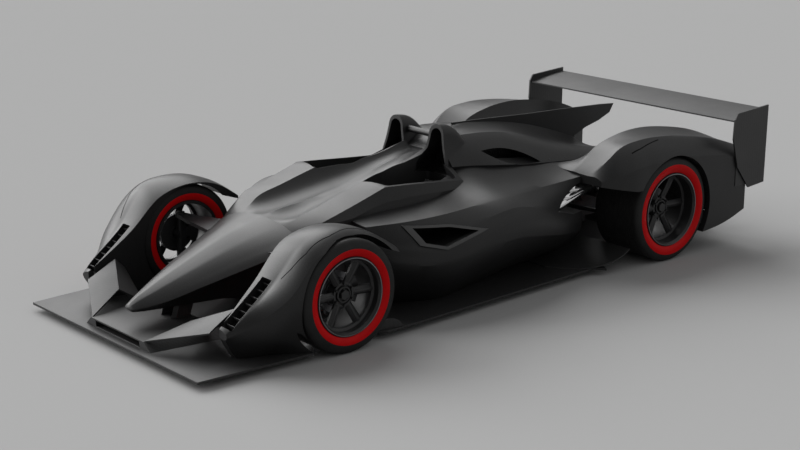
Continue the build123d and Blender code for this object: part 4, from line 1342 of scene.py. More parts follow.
def both_sides(half: list[Corner]) -> list[Corner]:
    """Whole ring from a left half that runs from the top centre to the bottom centre."""
    far = [(-after[0], after[1], here[2]) for here, after in zip(half[-2::-1], half[:0:-1])]
    return half[:-1] + far


def flow(nodes: numpy.ndarray, spans: int) -> list[numpy.ndarray]:
    """Smooth lines through rows of points.

    Args:
        nodes: Rows of points.
        spans: Lines from one row to the next.

    Returns:
        The lines, with the rows among them.
    """
    gaps = numpy.linalg.norm(numpy.diff(nodes, axis=0), axis=2).mean(axis=1)[:, None, None]
    slopes = numpy.diff(nodes, axis=0) / gaps
    ways = numpy.repeat(slopes[:1], len(nodes), axis=0)
    if len(nodes) > 2:
        ways[1:-1] = (slopes[:-1] * gaps[1:] + slopes[1:] * gaps[:-1]) / (gaps[1:] + gaps[:-1])
        ways[0] = 1.5 * slopes[0] - 0.5 * ways[1]
        ways[-1] = 1.5 * slopes[-1] - 0.5 * ways[-2]
    lines = []
    for index, gap in enumerate(gaps):
        for t in numpy.arange(spans) / spans:
            lines.append(
                (2 * t ** 3 - 3 * t ** 2 + 1) * nodes[index] + (t ** 3 - 2 * t ** 2 + t) * gap * ways[index]
                + (3 * t ** 2 - 2 * t ** 3) * nodes[index + 1] + (t ** 3 - t ** 2) * gap * ways[index + 1]
            )
    return lines + [nodes[-1]]


def loft(*parts: Sequence[Row], steps: int = 8, spans: int = 8) -> Mesh:
    """Closed skin through rings, smooth within each part and with an edge between parts.

    Args:
        *parts: Rows of rings, each with its Y.
        steps: Points on each side of a ring.
        spans: Lines from one ring to the next.

    Returns:
        The mesh, in metres.
    """
    lines: list[numpy.ndarray] = []
    for rows in parts:
        rings = []
        for y, corners in rows:
            ring = [p for a, b in zip(corners, corners[1:] + corners[:1]) for p in bowed(a, b, steps)]
            rings.append([(x, y, z) for x, z in ring])
        lines += flow(numpy.array(rings) * MM, spans)[1 if lines else 0:]
    return stacked(lines, PANEL_ANGLE)


def prism(outline: Sequence[Pair], axis: str, low: float, high: float) -> Mesh:
    """Outline pushed along one axis.

    Args:
        outline: Corners, in the order of the other two axes.
        axis: x, y or z.
        low: Start on the axis.
        high: End on the axis.

    Returns:
        The mesh, in metres.
    """
    place = "xyz".index(axis)
    rows = []
    for level in (low, high):
        row = []
        for corner in outline:
            point = list(corner)
            point.insert(place, level)
            row.append([value * MM for value in point])
        rows.append(row)
    return stacked(rows)


def block(x0: float, x1: float, y0: float, y1: float, z0: float, z1: float) -> Mesh:
    """Box between two corners."""
    return prism([(y0, z0), (y1, z0), (y1, z1), (y0, z1)], "x", x0, x1)


def axle_rod(x0: float, x1: float, y: float, z: float, radius: float) -> Mesh:
    """Round bar along X."""
    circle = [2 * math.pi * i / ROD_SIDES for i in range(ROD_SIDES)]
    return prism([(y + radius * math.cos(a), z + radius * math.sin(a)) for a in circle], "x", x0, x1)


def rounded(outline: Sequence[Pair], radius: float) -> list[Pair]:
    """Outline with each corner cut to a soft bend."""
    points = []
    for before, here, after in zip((outline[-1], *outline[:-1]), outline, (*outline[1:], outline[0])):
        ends = []
        for other in (before, after):
            run = math.hypot(other[0] - here[0], other[1] - here[1])
            ends.append(tuple(a + (b - a) * radius / run for a, b in zip(here, other)))
        for t in (0.0, 0.25, 0.5, 0.75, 1.0):
            points.append(tuple(
                (1 - t) ** 2 * a + 2 * t * (1 - t) * b + t * t * c for a, b, c in zip(ends[0], here, ends[1])
            ))
    return points


def leaf(tips: Iterable[Pair], bow: float, steps: int) -> list[Pair]:
    """Leaf-shaped outline between two tips.

    Args:
        tips: First and last tip, (y, z).
        bow: Half of the leaf's width.
        steps: Points along each edge.

    Returns:
        The points, (y, z).
    """
    start, end = (Vector(tip) for tip in tips)
    across = Vector((start.y - end.y, end.x - start.x)).normalized() * bow
    shares = [step / steps for step in range(steps + 1)]
    upper = [start.lerp(end, t) + across * (1 - (2 * t - 1) ** 2) for t in shares]
    lower = [start.lerp(end, t) - across * (1 - (2 * t - 1) ** 2) for t in reversed(shares[1:-1])]
    return [(p.x, p.y) for p in upper + lower]


class Carve(Enum):
    """How a tool works on a panel."""

    CUT = "DIFFERENCE"
    KEEP = "INTERSECT"


def carved(mesh: Mesh, *tools: Mesh, way: Carve = Carve.CUT) -> Mesh:
    """Cuts a panel by tools, or keeps only what lies inside them.

    Args:
        mesh: Closed panel.
        *tools: Closed shapes.
        way: Whether to cut or to keep.

    Returns:
        The panel that is left.
    """
    holder = bpy.data.objects.new("panel", mesh)
    bpy.context.scene.collection.objects.link(holder)
    for tool in tools:
        cutter = bpy.data.objects.new("cutter", tool)
        bpy.context.scene.collection.objects.link(cutter)
        modifier = holder.modifiers.new("carve", "BOOLEAN")
        modifier.operation = way.value
        modifier.solver = "EXACT"
        modifier.object = cutter
        mesh = baked(holder)
        holder.modifiers.remove(modifier)
        holder.data = mesh
        bpy.data.objects.remove(cutter)
    bpy.data.objects.remove(holder)
    face_out(mesh, PANEL_ANGLE)
    return mesh


@dataclass
class Tub:
    """Nose and cockpit tub, with two seat bays and a hoop behind each."""

    nose_rows: Rows = (
        (-874, 220, 14, 212, 8, 205), (-866, 236, 44, 214, 26, 198), (-835, 258, 66, 220, 36, 194),
        (-730, 310, 126, 244, 62, 192), (-490, 412, 222, 322, 104, 190), (-240, 508, 308, 400, 158, 180),
        (100, 600, 420, 506, 300, FLOOR_TOP),
    )
    scuttle_rows: Rows = (
        (0.090, 624, 256, 648, 432, 630, 452, 600, 440), (0.155, 640, 250, 698, 440, 683, 470, 620, 478),
        (0.250, 678, 240, 770, 446, 764, 476, 650, 490),
    )
    cockpit_rows: Rows = (
        (0.250, 678, 240, 770, 446, 764, 476, 650, 490), (0.305, 716, 186, 784, 446, 752, 478, 646, 490),
        (0.395, 782, 138, 806, 446, 728, 480, 640, 490), (0.482, 832, 112, 876, 446, 704, 482, 640, 490),
    )
    tub_half: float = 470.0
    bay_plan: tuple[Pair, ...] = (
        (238, mid(0.243)), (428, mid(0.262)), (428, mid(0.470)), (150, mid(0.470)), (150, mid(0.330)),
    )
    bay_floor: float = 120.0
    bay_round: float = 30.0
    footwell: tuple[float, ...] = (160, 362, mid(0.100), mid(0.330) + 60, 120, 470)
    hoop_rows: Rows = (
        (0, 0, 68, 160), (110, 16, 72, 164), (215, 100, 78, 168), (320, 206, 80, 170),
    )
    hoop_x: float = 200.0
    hoop_front: float = mid(0.470)
    hoop_top: float = 1030.0
    hoop_foot: float = 690.0
    hoop_wall: float = 26.0
    hoop_bow: float = 0.40
    hoop_lean: float = 5.0
    brace: tuple[float, float, float] = (74.0, 942.0, 22.0)
    brace_inset: float = 60.0

    @staticmethod
    def nose_ring(row: Sequence[float]) -> Row:
        """Domed top between two chines, undercut to a narrow keel."""
        run, top, chine_x, chine_z, keel_x, keel_z = row
        half: list[Corner] = [(0, top, 0.02)]
        for share, bow in ((0.45, 0.02), (0.8, 0.03)):
            half.append((share * chine_x, top - (top - chine_z) * share ** 2, bow))
        half += [(chine_x, chine_z, -0.05), (keel_x, keel_z, 0), (0, keel_z, 0)]
        return front(run), both_sides(half)

    @staticmethod
    def tub_ring(row: Sequence[float]) -> Row:
        """Valley in the middle, a crest and an outer rim beside each seat."""
        at, mid_z, crest_x, crest_z, rim_x, rim_z, base_x, base_z, side_x = row
        return mid(at), both_sides([
            (0, mid_z, -0.14), (crest_x, crest_z, 0.02), (rim_x, rim_z, 0), (base_x, base_z, 0),
            (side_x, FLOOR_TOP, 0), (0, FLOOR_TOP, 0),
        ])

    def hoop_ring(self, row: Sequence[float], inset: float) -> Row:
        """Arch with a round top and hollow flanks, set in from the outside by inset."""
        back, drop, half_top, half_foot = row
        top = half_top - 0.7 * inset
        low = half_foot - inset
        foot = self.hoop_foot + min(inset, self.hoop_wall)
        spring = self.hoop_top - drop - inset - 2 * self.hoop_bow * top
        return self.hoop_front + back, [
            (self.hoop_x - top, spring, self.hoop_bow), (self.hoop_x + top, spring, -0.04),
            (self.hoop_x + low, foot, 0), (self.hoop_x - low, foot, -0.04),
        ]

    def leaned(self, mesh: Mesh) -> Mesh:
        """Leans a hoop's shape back about its foot."""
        foot = Matrix.Translation(Vector((0, self.hoop_front, self.hoop_foot)) * MM)
        mesh.transform(foot @ Matrix.Rotation(math.radians(-self.hoop_lean), 4, "X") @ foot.inverted())
        return mesh

    def hollows(self) -> list[Mesh]:
        """Hollow of the left hoop, and the dip in front of it."""
        first, second = self.hoop_rows[:2]
        wall = self.hoop_wall
        hollow = loft([self.hoop_ring((-1, *first[1:]), wall), self.hoop_ring(second, wall + 4)])
        dip = loft([self.hoop_ring((-110, *first[1:]), wall + 58), self.hoop_ring(first, wall)])
        return [self.leaned(hollow), self.leaned(dip)]

    def hoop(self) -> Mesh:
        """Left hoop."""
        shape = self.leaned(loft([self.hoop_ring(row, 0) for row in self.hoop_rows], steps=16))
        return carved(shape, self.hollows()[0])

    def bay(self) -> list[Mesh]:
        """Room for the left seat, with its footwell."""
        return [prism(rounded(self.bay_plan, self.bay_round), "z", self.bay_floor, CLEAR), block(*self.footwell)]

    def shell(self) -> Mesh:
        """Tub with its bays."""
        scuttle = [self.nose_ring(self.nose_rows[-1])] + [self.tub_ring(row) for row in self.scuttle_rows]
        shape = loft(scuttle, [self.tub_ring(row) for row in self.cockpit_rows])
        keep = block(-self.tub_half, self.tub_half, front(100), mid(0.482), FLOOR_TOP, CLEAR)
        shape = carved(shape, keep, way=Carve.KEEP)
        tools = self.bay() + self.hollows()
        return carved(shape, *tools, *[mirrored(tool) for tool in tools])

    def build(self, finishes: Finishes) -> None:
        """Makes the nose, the tub, the hoops and their cross tube."""
        nose = loft([self.nose_ring(row) for row in self.nose_rows])
        for word, mesh, node in (("nose_panel", nose, "nose_cone"), ("tub_panel", self.shell(), "cockpit_tub")):
            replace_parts(new_piece(word, mesh, CHASSIS, "body", [finishes.skin]), node)
        for word, hoop in new_pair("hoop", self.hoop(), "body", finishes.skin):
            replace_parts(hoop, f"roll_hoop_{word}")
        back, height, radius = self.brace
        half = self.hoop_x - self.brace_inset
        brace = axle_rod(-half, half, self.hoop_front + back, height, radius)
        new_piece("hoop_brace", brace, CHASSIS, "body", [finishes.skin])


@dataclass
class Flanks:
    """Engine cover with its leaf vents, and a side pod with its inlet and exhausts on each side."""

    cover_rows: Rows = (
        (0.482, 846, 60, 212, 872, 346, 770), (0.530, 918, 34, 208, 924, 376, 764),
        (0.590, 950, 18, 206, 926, 420, 750), (0.690, 934, 14, 200, 894, 424, 714),
        (0.855, 846, 12, 200, 764, 436, 674), (0.960, 752, 12, 214, 694, 468, 656),
        (1.010, 700, 12, 230, 668, 480, 648),
    )
    cover_under: float = 46.0
    cover_tuck: float = 26.0
    vent_tips: tuple[Pair, ...] = ((mid(0.572), 838), (mid(0.742), 708))
    vent_bow: float = 0.09
    vent_inner: float = 215.0
    pod_rows: Rows = (
        (front(421), 640, 600, 594, 644, 500, 672, 400, 500), (mid(0.228), 652, 722, 614, 796, 484, 826, 360, 540),
        (mid(0.320), 652, 752, 618, 850, 506, 886, 350, 662), (mid(0.430), 682, 746, 628, 860, 572, 902, 396, 618),
        (mid(0.510), 762, 728, 634, 852, 590, 896, 404, 566), (mid(0.590), 774, 700, 626, 830, 548, 872, 370, 500),
        (mid(0.700), 740, 668, 622, 768, 462, 798, 310, 438), (mid(0.780), 718, 690, 640, 706, 420, 696, 270, 424),
    )
    pod_inner: float = 340.0
    inlet: tuple[Pair, ...] = (
        (mid(0.212), 598), (mid(0.326), 568), (mid(0.410), 516), (mid(0.296), 438), (mid(0.236), 482),
    )
    inlet_back: float = 612.0
    inlet_rim: float = 0.77
    inlet_proud: float = 14.0
    inlet_sunk: float = 20.0
    exhaust_mouth: tuple[Pair, ...] = (
        (mid(0.770), 600), (mid(0.668), 474), (mid(0.735), 416), (mid(0.850), 398), (mid(0.850), 600),
    )
    mouth_inner: float = 500.0
    pipe_radius: float = 32.0
    pipe_count: int = 3
    pipe_place: Pair = (0.696, 450.0)
    pipe_step: Pair = (0.027, 54.0)
    pipe_root: float = 330.0
    pipe_drop: float = 40.0
    pipe_out: float = 668.0
    pipe_end: Corner = (654, mid(0.822), 548)
    pipe_bend: float = 70.0

    def cover_ring(self, row: Sequence[float]) -> Row:
        """Ridge that flares out to a shoulder, then falls to the edge."""
        at, top_z, top_x, shoulder_x, shoulder_z, edge_x, edge_z = row
        low = edge_z - self.cover_under
        return mid(at), both_sides([
            (0, top_z, 0), (top_x, top_z, -0.07), (shoulder_x, shoulder_z, 0.08), (edge_x, edge_z, 0),
            (edge_x - self.cover_tuck, low, 0), (0, low, 0),
        ])

    def pod_ring(self, row: Sequence[float], out: float = 0.0) -> Row:
        """Shelf, an overhanging lip, a pontoon crest and a deep undercut."""
        y, root_z, lip_x, lip_z, crest_x, crest_z, bulge_x, bulge_z, foot_x = row
        return y, [
            (self.pod_inner, root_z, -0.04), (lip_x + out, lip_z, 0.03), (crest_x + out, crest_z, 0.10),
            (bulge_x + out, bulge_z, 0.06), (foot_x + out, FLOOR_TOP, 0), (self.pod_inner, FLOOR_TOP, 0),
        ]

    def vent(self) -> list[Pair]:
        """Leaf-shaped outline of the vent, (y, z)."""
        return leaf(self.vent_tips, self.vent_bow * math.dist(*self.vent_tips), 16)

    def pod(self, out: float = 0.0) -> Mesh:
        """Left pod, grown by out."""
        return loft([self.pod_ring(row, out) for row in self.pod_rows])

    def pipes(self) -> Mesh:
        """Left exhaust pipes, each bent back toward the tail."""
        pipes = []
        for number in range(self.pipe_count):
            y = mid(self.pipe_place[0] + self.pipe_step[0] * number)
            z = self.pipe_place[1] + self.pipe_step[1] * number
            root, elbow = Vector((self.pipe_root, y, z - self.pipe_drop)), Vector((self.pipe_out, y, z))
            end = Vector(self.pipe_end)
            into, out = (elbow + (way - elbow).normalized() * self.pipe_bend for way in (root, end))
            shares = [step / 12 for step in range(13)]
            bend = [(1 - t) ** 2 * into + 2 * t * (1 - t) * elbow + t * t * out for t in shares]
            pipes.append(tube([p * MM for p in (root, *bend, end)], self.pipe_radius * MM, 24))
        return joined(pipes)

    def inlet_frame(self) -> Mesh:
        """Rim round the left inlet, just proud of the pod."""
        middle = [sum(p[i] for p in self.inlet) / len(self.inlet) for i in (0, 1)]
        inner = [tuple(m + self.inlet_rim * (v - m) for v, m in zip(p, middle)) for p in self.inlet]
        rim = prism(self.inlet, "x", self.inlet_back, CLEAR)
        rim = carved(rim, prism(inner, "x", self.inlet_back - 10, CLEAR + 10))
        rim = carved(rim, self.pod(self.inlet_proud), way=Carve.KEEP)
        return carved(rim, self.pod(-self.inlet_sunk))

    def build(self, finishes: Finishes, hollows: list[Mesh]) -> Mesh:
        """Makes the cover, the pods, their inlet frames and the exhausts.

        Args:
            finishes: Finishes of the car.
            hollows: Hollows of the left hoop, which run on into the cover.

        Returns:
            The cover's mesh.
        """
        vent = prism(self.vent(), "x", self.vent_inner, 600)
        tools = [vent, *hollows]
        cover = loft([self.cover_ring(row) for row in self.cover_rows])
        cover = carved(cover, *tools, *[mirrored(tool) for tool in tools])
        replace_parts(new_piece("cover_panel", cover, CHASSIS, "body", [finishes.skin]), "engine_cover")
        mouth = prism(self.exhaust_mouth, "x", self.mouth_inner, CLEAR)
        hole = prism(self.inlet, "x", self.inlet_back, CLEAR)
        pieces = (
            ("pod", carved(self.pod(), hole, mouth), "side_pod", "body", finishes.skin),
            ("inlet_frame", self.inlet_frame(), "inlet_frames", "carbon", finishes.frame_skin),
            ("exhaust_pipes", self.pipes(), "exhausts", "chrome", finishes.chrome),
        )
        for word, shape, node, slot, finish in pieces:
            for name, piece in new_pair(word, shape, slot, finish):
                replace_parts(piece, f"{node}_{name}" if word == "pod" else node)
        return cover


@dataclass
class Fenders:
    """Fenders over the four wheels, with the louvres in the noses of the front ones."""

    wheel_x: float = 830.0
    wheel_z: float = 338.0
    tyre_half: float = 155.0
    arch_radius: float = 346.0
    lip_radius: float = 350.0
    arch_reach: float = 48.0
    arch_face: float = 40.0
    nose_rows: Rows = (
        (-722, -122, 240, -62, 222, -52, 204, -66, 186, 0),
        (-632, -140, 306, -36, 292, -14, 236, -90, FLOOR_TOP, 0.06),
        (-440, -172, 454, -24, 446, 134, 404, -8, FLOOR_TOP, 0.12),
    )
    roof_rows: Rows = (
        (-220, -192, 16, 8, 46, 154, 58, 122, 0.03), (0, -187, 14, 18, 36, 154, 78, 154, 0),
        (200, -175, 14, 20, 26, 154, 68, 154, 0),
    )
    roof_radius: float = 344.0
    roof_reach: float = 46.0
    tail_run: float = 393.0
    tail_z: float = 552.0
    louvre_x: Pair = (700.0, 784.0)
    louvre_ends: tuple[Pair, ...] = ((front(-700), 244), (front(-404), 464))
    louvre_depth: float = 46.0
    louvre_count: int = 7
    louvre_lean: Pair = (-0.45, 0.80)
    louvre_slat: float = 5.0
    rear_x: float = 770.0
    rear_z: float = 358.0
    rear_half: float = 200.0
    rear_arch: float = 374.0
    rear_rim: float = 250.0
    rear_out: float = 984.0
    rear_wall: float = 14.0
    rear_lip_z: float = 546.0
    rear_inside: float = 300.0
    pod_end: float = mid(0.780)
    rear_rows: Rows = (
        (mid(0.780) - rear(0), 420, 690, -150, 662, 0, 654, 110, 634, 500),
        (-548, 420, 680, -150, 708, 56, 735, 58, 650, 470),
        (-423, 425, 668, -150, 792, 76, 823, 14, 690, 410), (-240, 440, 658, -150, 846, 80, 854, 2, 712, 300),
        (0, 470, 654, -150, 868, 80, 848, 0, 720, 160), (300, 500, 640, -140, 838, 88, 806, 0, 690, 150),
        (560, 540, 630, -130, 780, 96, 750, 0, 650, 180), (760, 580, 610, -110, 704, 100, 684, 0, 590, 240),
    )

    def fender_ring(self, row: Sequence[float]) -> Row:
        """Crowned top with a soft outer shoulder."""
        run, in_x, in_z, top_x, top_z, out_x, out_z, foot_x, foot_z, belly = row
        x = self.wheel_x
        return front(run), [
            (x + in_x, in_z, 0.05), (x + top_x, top_z, 0.10), (x + out_x, out_z, belly),
            (x + foot_x, foot_z, 0), (x + in_x, foot_z, 0),
        ]

    def roof_ring(self, row: Sequence[float]) -> Row:
        """Section over the wheel, a skin's thickness above the arch."""
        run, in_x, in_skin, top_x, top_skin, out_x, drop, foot_x, belly = row
        arch = self.wheel_z + math.sqrt(self.roof_radius ** 2 - max(abs(run) - self.roof_reach, 0) ** 2)
        top = arch + top_skin
        return self.fender_ring((run, in_x, arch + in_skin, top_x, top, out_x, top - drop, foot_x, FLOOR_TOP, belly))

    def wheel_room(self) -> list[Mesh]:
        """Room for the front wheel at every steering angle."""
        y, z, reach, radius = front(0), self.wheel_z, self.arch_reach, self.arch_radius
        low = self.wheel_x - self.tyre_half - 8
        face = self.wheel_x + self.tyre_half - self.arch_face
        high = self.wheel_x + self.tyre_half + 60
        return [
            axle_rod(low - 200, high + 200, y, z, self.lip_radius), axle_rod(low, face, y - reach, z, radius),
            axle_rod(low, high, y + reach, z, radius), block(low, high, y, y + reach, z - radius, z + radius),
            block(low, face, y - reach, y, z - radius, z + radius),
        ]

    def louvre_frame(self) -> tuple[Vector, Vector, Vector]:
        """Low end, high end and inward direction of the louvres, (y, z)."""
        low, high = (Vector(end) for end in self.louvre_ends)
        way = (high - low).normalized()
        return low, high, Vector((way.y, -way.x))

    def front_fender(self) -> Mesh:
        """Left front fender."""
        rows = [self.fender_ring(row) for row in self.nose_rows] + [self.roof_ring(row) for row in self.roof_rows]
        tail = self.tail_z
        rows.append(self.fender_ring((self.tail_run, -154, tail - 8, 25, tail + 6, 116, tail - 30, 116, FLOOR_TOP, 0)))
        inside, outside = self.wheel_x - 400, self.wheel_x + 400
        keep = block(inside, outside, front(-800), front(450), FLOOR_TOP, CLEAR)
        shape = carved(loft(rows, steps=12), keep, way=Carve.KEEP)
        under = prism([
            (front(self.tail_run + 60), tail - 40), (front(self.tail_run), tail - 28), (front(180), self.wheel_z + 262),
            (front(180), 0), (front(self.tail_run + 60), 0),
        ], "x", inside, outside)
        low, high, down = self.louvre_frame()
        corners = [low - down * 90, high - down * 90, high + down * self.louvre_depth, low + down * self.louvre_depth]
        pocket = prism([(p.x, p.y) for p in corners], "x", *self.louvre_x)
        return carved(shape, *self.wheel_room(), under, pocket)

    def louvres(self, finish: Material) -> Mesh:
        """Slats of the left louvres."""
        low, high, down = self.louvre_frame()
        step = (high - low) / self.louvre_count
        foot = low + step * 0.5 + down * self.louvre_depth
        lean = Vector(self.louvre_lean) * self.louvre_depth
        thick = Vector((self.louvre_slat, 0))
        corners = [Vector((0, 0)), lean, lean + thick, thick]
        slat = prism([(p.x, p.y) for p in corners], "x", *self.louvre_x)
        first = (0, foot.x * MM, foot.y * MM)
        apart = (0, step.x * MM, step.y * MM)
        return ROW.run(slat, finish, Count=self.louvre_count, First=first, Step=apart, Turn=(0, 0, 0))

    def rear_ring(self, row: Sequence[float]) -> Row:
        """Valley beside the engine cover, a crest, a crowned top and a flat outer wall."""
        run, in_x, valley_z, crest_x, crest_z, top_x, top_z, inset, out_z, foot_z = row
        out = self.rear_out - inset
        return rear(run), [
            (in_x, valley_z, -0.06), (self.rear_x + crest_x, crest_z, -0.02), (self.rear_x + top_x, top_z, 0.09),
            (out, out_z, 0), (out, foot_z, 0), (in_x, foot_z, 0),
        ]

    def rear_fender(self) -> Mesh:
        """Left rear fender."""
        shape = loft([self.rear_ring(row) for row in self.rear_rows], steps=12)
        shape = carved(shape, block(0, self.rear_out, self.pod_end, rear(800), 0, CLEAR), way=Carve.KEEP)
        low = self.rear_x - self.rear_half - 24
        high = self.rear_x + self.rear_half - self.rear_wall
        start = self.pod_end - 10
        lip = prism([
            (start, 600), (rear(-371), self.rear_lip_z), (rear(-200), self.rear_lip_z), (rear(-200), 0), (start, 0),
        ], "x", self.rear_inside, CLEAR)
        arch = axle_rod(low, CLEAR, rear(0), self.rear_z, self.rear_arch)
        rim = axle_rod(self.rear_inside, high, rear(0), self.rear_z, self.rear_rim)
        return carved(shape, arch, rim, lip, block(low, high - 10, rear(200), rear(640), 200, 600))

    def build(self, finishes: Finishes) -> tuple[Mesh, Mesh]:
        """Makes the fenders of both sides and the louvres.

        Args:
            finishes: Finishes of the car.

        Returns:
            The meshes of the left front and the left rear fender.
        """
        front_fender, rear_fender = self.front_fender(), self.rear_fender()
        pieces = (
            ("front_fender_panel", front_fender, "front_fender", "body", finishes.skin),
            ("rear_fender_panel", rear_fender, "rear_fender", "body", finishes.skin),
            ("louvre_slats", self.louvres(finishes.plate), "fender_louvres", "carbon", finishes.plate),
        )
        for word, shape, node, slot, finish in pieces:
            for name, piece in new_pair(word, shape, slot, finish):
                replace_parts(piece, node if word == "louvre_slats" else f"{node}_{name}")
        return front_fender, rear_fender


# Body trim


@dataclass
class BodyTrim:
    """Small fittings on the body: fasteners, crown lines of painted groove shade, vent screens and radiator fins."""

    stud_radius: float = 0.0075
    stud_rise: float = 0.0018
    stud_x: float = 0.412
    stud_shares: tuple[float, ...] = tuple(0.50 + 0.055 * number for number in range(9))
    front_line: tuple[Pair, ...] = (
        (0.846, FRONT_AXLE_Y - 0.395), (0.878, FRONT_AXLE_Y - 0.35), (0.912, FRONT_AXLE_Y - 0.27),
        (0.905, FRONT_AXLE_Y - 0.10), (0.862, FRONT_AXLE_Y + 0.07), (0.850, FRONT_AXLE_Y + 0.20),
    )
    rear_slit: tuple[Pair, ...] = ((0.911, 1.058), (0.905, 1.150), (0.877, 1.355))
    screen_bow: float = 0.040

    def stud(self) -> Mesh:
        """Flush quarter-turn fastener with a slot."""
        rise, radius = self.stud_rise, self.stud_radius
        mesh = lathe([
            (-0.003, 0.0), (-0.003, radius), (rise * 0.5, radius), (rise, radius - 0.0015), (rise, 0.0035),
            (rise * 0.3, 0.0030), (rise * 0.3, 0.0),
        ], 14)
        mesh.transform(Matrix.Rotation(-math.pi / 2, 4, "Y"))
        return mesh

    def fasteners(self, cover: Surface, finish: Material) -> None:
        """Seats a row of fasteners on each side of the engine cover."""
        seats = cover.below([(self.stud_x, station(share)) for share in self.stud_shares])
        seats += [(Vector((-p.x, p.y, p.z)), Vector((-n.x, n.y, n.z))) for p, n in seats]
        base = bpy.data.meshes.new("places")
        base.from_pydata([place for place, _ in seats], [], [])
        facing = base.attributes.new("facing", "FLOAT_VECTOR", "POINT")
        for entry, (_, normal) in zip(facing.data, seats):
            entry.vector = normal
        new_piece("panel_fasteners", ON_SKIN.run(self.stud(), finish, base), CHASSIS, "metal", [finish])

    def build(
        self, finishes: Finishes, cover: Mesh, front_fender: Mesh, rear_fender: Mesh
    ) -> None:
        """Makes the fittings.

        Args:
            finishes: Finishes of the car.
            cover: Engine cover.
            front_fender: Left front fender.
            rear_fender: Left rear fender.
        """
        self.fasteners(Surface(cover), finishes.dark_metal)
        # The crown lines are near-black beads, painted shade for sunk lines in the fender skins.
        self.shade_line("front_crown_line", Surface(front_fender), self.front_line, 0.0036, 0.0018, finishes.groove_shade)
        self.shade_line("rear_crown_slit", Surface(rear_fender), self.rear_slit, 0.0080, 0.0052, finishes.groove_shade)
        self.vent_screens(finishes)
        self.radiators(finishes)

    def shade_line(
        self, word: str, surface: Surface, path: Sequence[Pair], radius: float, sunk: float,
        finish: Material,
    ) -> None:
        """Makes a near-black bead along the crown of a fender on each side, painted shade that stands for the dark
        inside a sunk line in the skin.

        Args:
            word: Name of the pieces, without the side.
            surface: Skin of the left fender.
            path: Corners of the line, in X and Y.
            radius: Radius of the bead.
            sunk: Depth of the bead's middle below the skin.
            finish: Material.
        """
        seats = surface.below(self.eased(path))
        mesh = tube([place - normal * sunk for place, normal in seats], radius, 8)
        new_pair(word, mesh, "body", finish)

    @staticmethod
    def eased(path: Sequence[Pair], steps: int = 10) -> list[Pair]:
        """Points on straight runs between the corners of a path in X and Y."""
        points = [path[0]]
        for (x0, y0), (x1, y1) in zip(path, path[1:]):
            points += [(x0 + (x1 - x0) * i / steps, y0 + (y1 - y0) * i / steps) for i in range(1, steps + 1)]
        return points

    def vent_screens(self, finishes: Finishes) -> None:
        """Makes a slatted screen deep in each leaf-shaped vent of the engine cover."""
        bar = block_mesh((0.004, 0.003, 0.150), 0.001, 1)
        first = Vector((0.222, station(0.582), 0.825))
        mesh = ROW.run(bar, finishes.mesh, Count=21, First=first, Step=(0, 0.0215, -0.0058), Turn=(0.25, 0, 0))
        outline = leaf([(y * MM, z * MM) for y, z in Flanks.vent_tips], self.screen_bow, 12)
        self.clip(mesh, outline, 0.003)
        new_pair("vent_screen", mesh, "carbon", finishes.mesh)

    @staticmethod
    def clip(mesh: Mesh, outline: Sequence[Pair], gap: float) -> None:
        """Pulls bar ends back so that they stay inside the opening they screen.

        Args:
            mesh: Bars that stand upright.
            outline: Corners of the opening, (y, z).
            gap: Room kept at the opening's edge.
        """
        for vertex in mesh.vertices:
            levels = []
            for (y0, z0), (y1, z1) in zip(outline, [*outline[1:], outline[0]]):
                if y0 != y1 and min(y0, y1) <= vertex.co.y <= max(y0, y1):
                    levels.append(z0 + (z1 - z0) * (vertex.co.y - y0) / (y1 - y0))
            if len(levels) > 1 and max(levels) - min(levels) > 2 * gap:
                vertex.co.z = min(max(vertex.co.z, min(levels) + gap), max(levels) - gap)

    def radiators(self, finishes: Finishes) -> None:
        """Makes a row of radiator fins at the back of each side inlet."""
        fin = block_mesh((0.010, 0.0025, 0.200), 0.0008, 1)
        mesh = ROW.run(
            fin, finishes.mesh, Count=40, First=(0.619, station(0.234), 0.520), Step=(0, 0.0105, 0), Turn=(0, 0, 0)
        )
        self.clip(mesh, [(y * MM, z * MM) for y, z in Flanks.inlet], 0.004)
        new_pair("radiator_fins", mesh, "metal", finishes.mesh)


# Studio


@dataclass(frozen=True)
class Lamp:
    """Broad, far, soft lamp."""

    name: str
    strength: float
    spread: float
    toward: Point


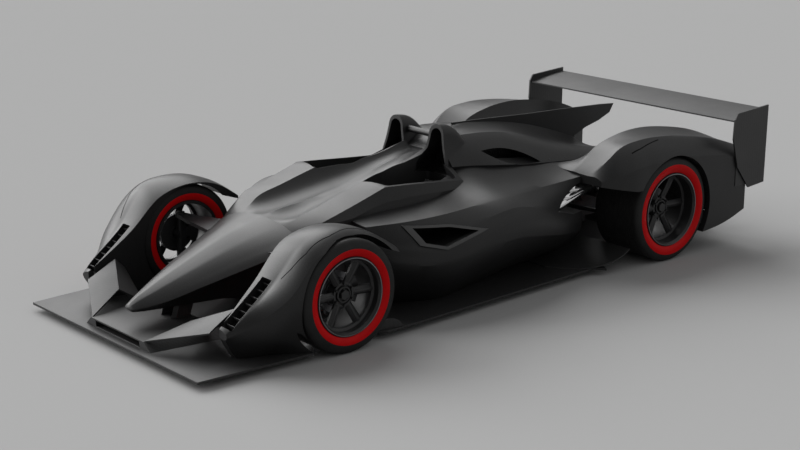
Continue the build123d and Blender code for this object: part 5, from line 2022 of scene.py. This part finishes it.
@dataclass
class Studio:
    """Pale floor and backdrop, soft light from behind and from the car's right, a weak fill, and the camera."""

    camera_place: Point = (7.83364, -6.91079, 3.22167)
    camera_aim: Point = (0.0, -0.1696, 0.3383)
    lens: float = 73.342
    floor_half: float = 60.0
    floor_tone: float = 0.390
    floor_bounce: float = 0.16
    backdrop: float = 0.42
    sky: float = 0.25
    lamps: tuple[Lamp, ...] = (
        Lamp("back_softbox", 2.5, 56.0, (-0.68, 0.14, 0.62)),
        Lamp("side_softbox", 2.4, 50.0, (-0.84, -0.42, 0.30)),
        Lamp("fill_softbox", 0.35, 80.0, (0.55, 0.45, 0.70)),
    )

    @staticmethod
    def seen(tree: Tree, *also: str) -> Socket:
        """1 on rays from the camera and of the other kinds named, and 0 on the rest."""
        path = tree.nodes.new("ShaderNodeLightPath").outputs
        mask = path["Is Camera Ray"]
        for kind in also:
            mask = reckon(tree, "MAXIMUM", mask, path[kind])
        return mask

    def floor(self) -> None:
        """Lays the floor."""
        shader = Shader("studio_floor")
        mask = self.seen(shader.tree, "Is Glossy Ray", "Is Transmission Ray")
        tone = tint(shader.tree, mask, (self.floor_bounce,) * 3, (self.floor_tone,) * 3)
        shader.set(Base_Color=tone, Roughness=0.95, Specular_IOR_Level=0.0)
        half = self.floor_half
        mesh = bpy.data.meshes.new("studio_floor")
        mesh.from_pydata([(-half, -half, 0), (half, -half, 0), (half, half, 0), (-half, half, 0)], [], [(0, 1, 2, 3)])
        mesh.materials.append(shader.material)
        floor = bpy.data.objects.new("studio_floor", mesh)
        bpy.context.scene.collection.objects.link(floor)

    def light(self) -> None:
        """Sets the backdrop, the dim sky and the lamps."""
        world = bpy.data.worlds.new("studio_sky")
        bpy.context.scene.world = world
        world.use_nodes = True
        tree = world.node_tree
        tone = tint(tree, self.seen(tree, "Is Transmission Ray"), (self.sky,) * 3, (self.backdrop,) * 3)
        tree.links.new(tone, tree.nodes["Background"].inputs["Color"])
        for lamp in self.lamps:
            sun = bpy.data.lights.new(lamp.name, "SUN")
            sun.energy = lamp.strength
            sun.angle = math.radians(lamp.spread)
            holder = bpy.data.objects.new(lamp.name, sun)
            holder.rotation_euler = Vector(lamp.toward).to_track_quat("Z", "Y").to_euler()
            bpy.context.scene.collection.objects.link(holder)

    def camera(self) -> None:
        """Sets the camera at the photograph's angle."""
        data = bpy.data.cameras.new("camera")
        data.lens = self.lens
        data.sensor_width = 36.0
        data.clip_end = 300.0
        holder = bpy.data.objects.new("camera", data)
        place = Vector(self.camera_place)
        holder.location = place
        holder.rotation_euler = (Vector(self.camera_aim) - place).to_track_quat("-Z", "Y").to_euler()
        bpy.context.scene.collection.objects.link(holder)
        bpy.context.scene.camera = holder

    def build(self) -> None:
        """Builds the studio."""
        bpy.context.scene.view_settings.view_transform = "Standard"
        self.floor()
        self.light()
        self.camera()


def dress_frame(finishes: Finishes) -> None:
    """Gives every CAD node the finish of its slot."""
    for row in frame["record"]["subparts"]:
        node = frame["nodes"][row["node"]]
        node.data.materials.clear()
        node.data.materials.append(finishes.for_slot(row["material_slot"]))


def main() -> None:
    """Builds the studio, dresses the frame and adds the pieces."""
    logging.basicConfig(level=logging.INFO, format="%(name)s %(message)s")
    Studio().build()
    finishes = Finishes()
    dress_frame(finishes)
    for axle in Axle:
        for side in Side:
            RoadWheel(axle, side).build(finishes)
    SeatPads().build(finishes)
    SteeringWheel().build(finishes)
    tub = Tub()
    tub.build(finishes)
    cover = Flanks().build(finishes, tub.hollows())
    BodyTrim().build(finishes, cover, *Fenders().build(finishes))


if __name__ == "__main__":
    main()
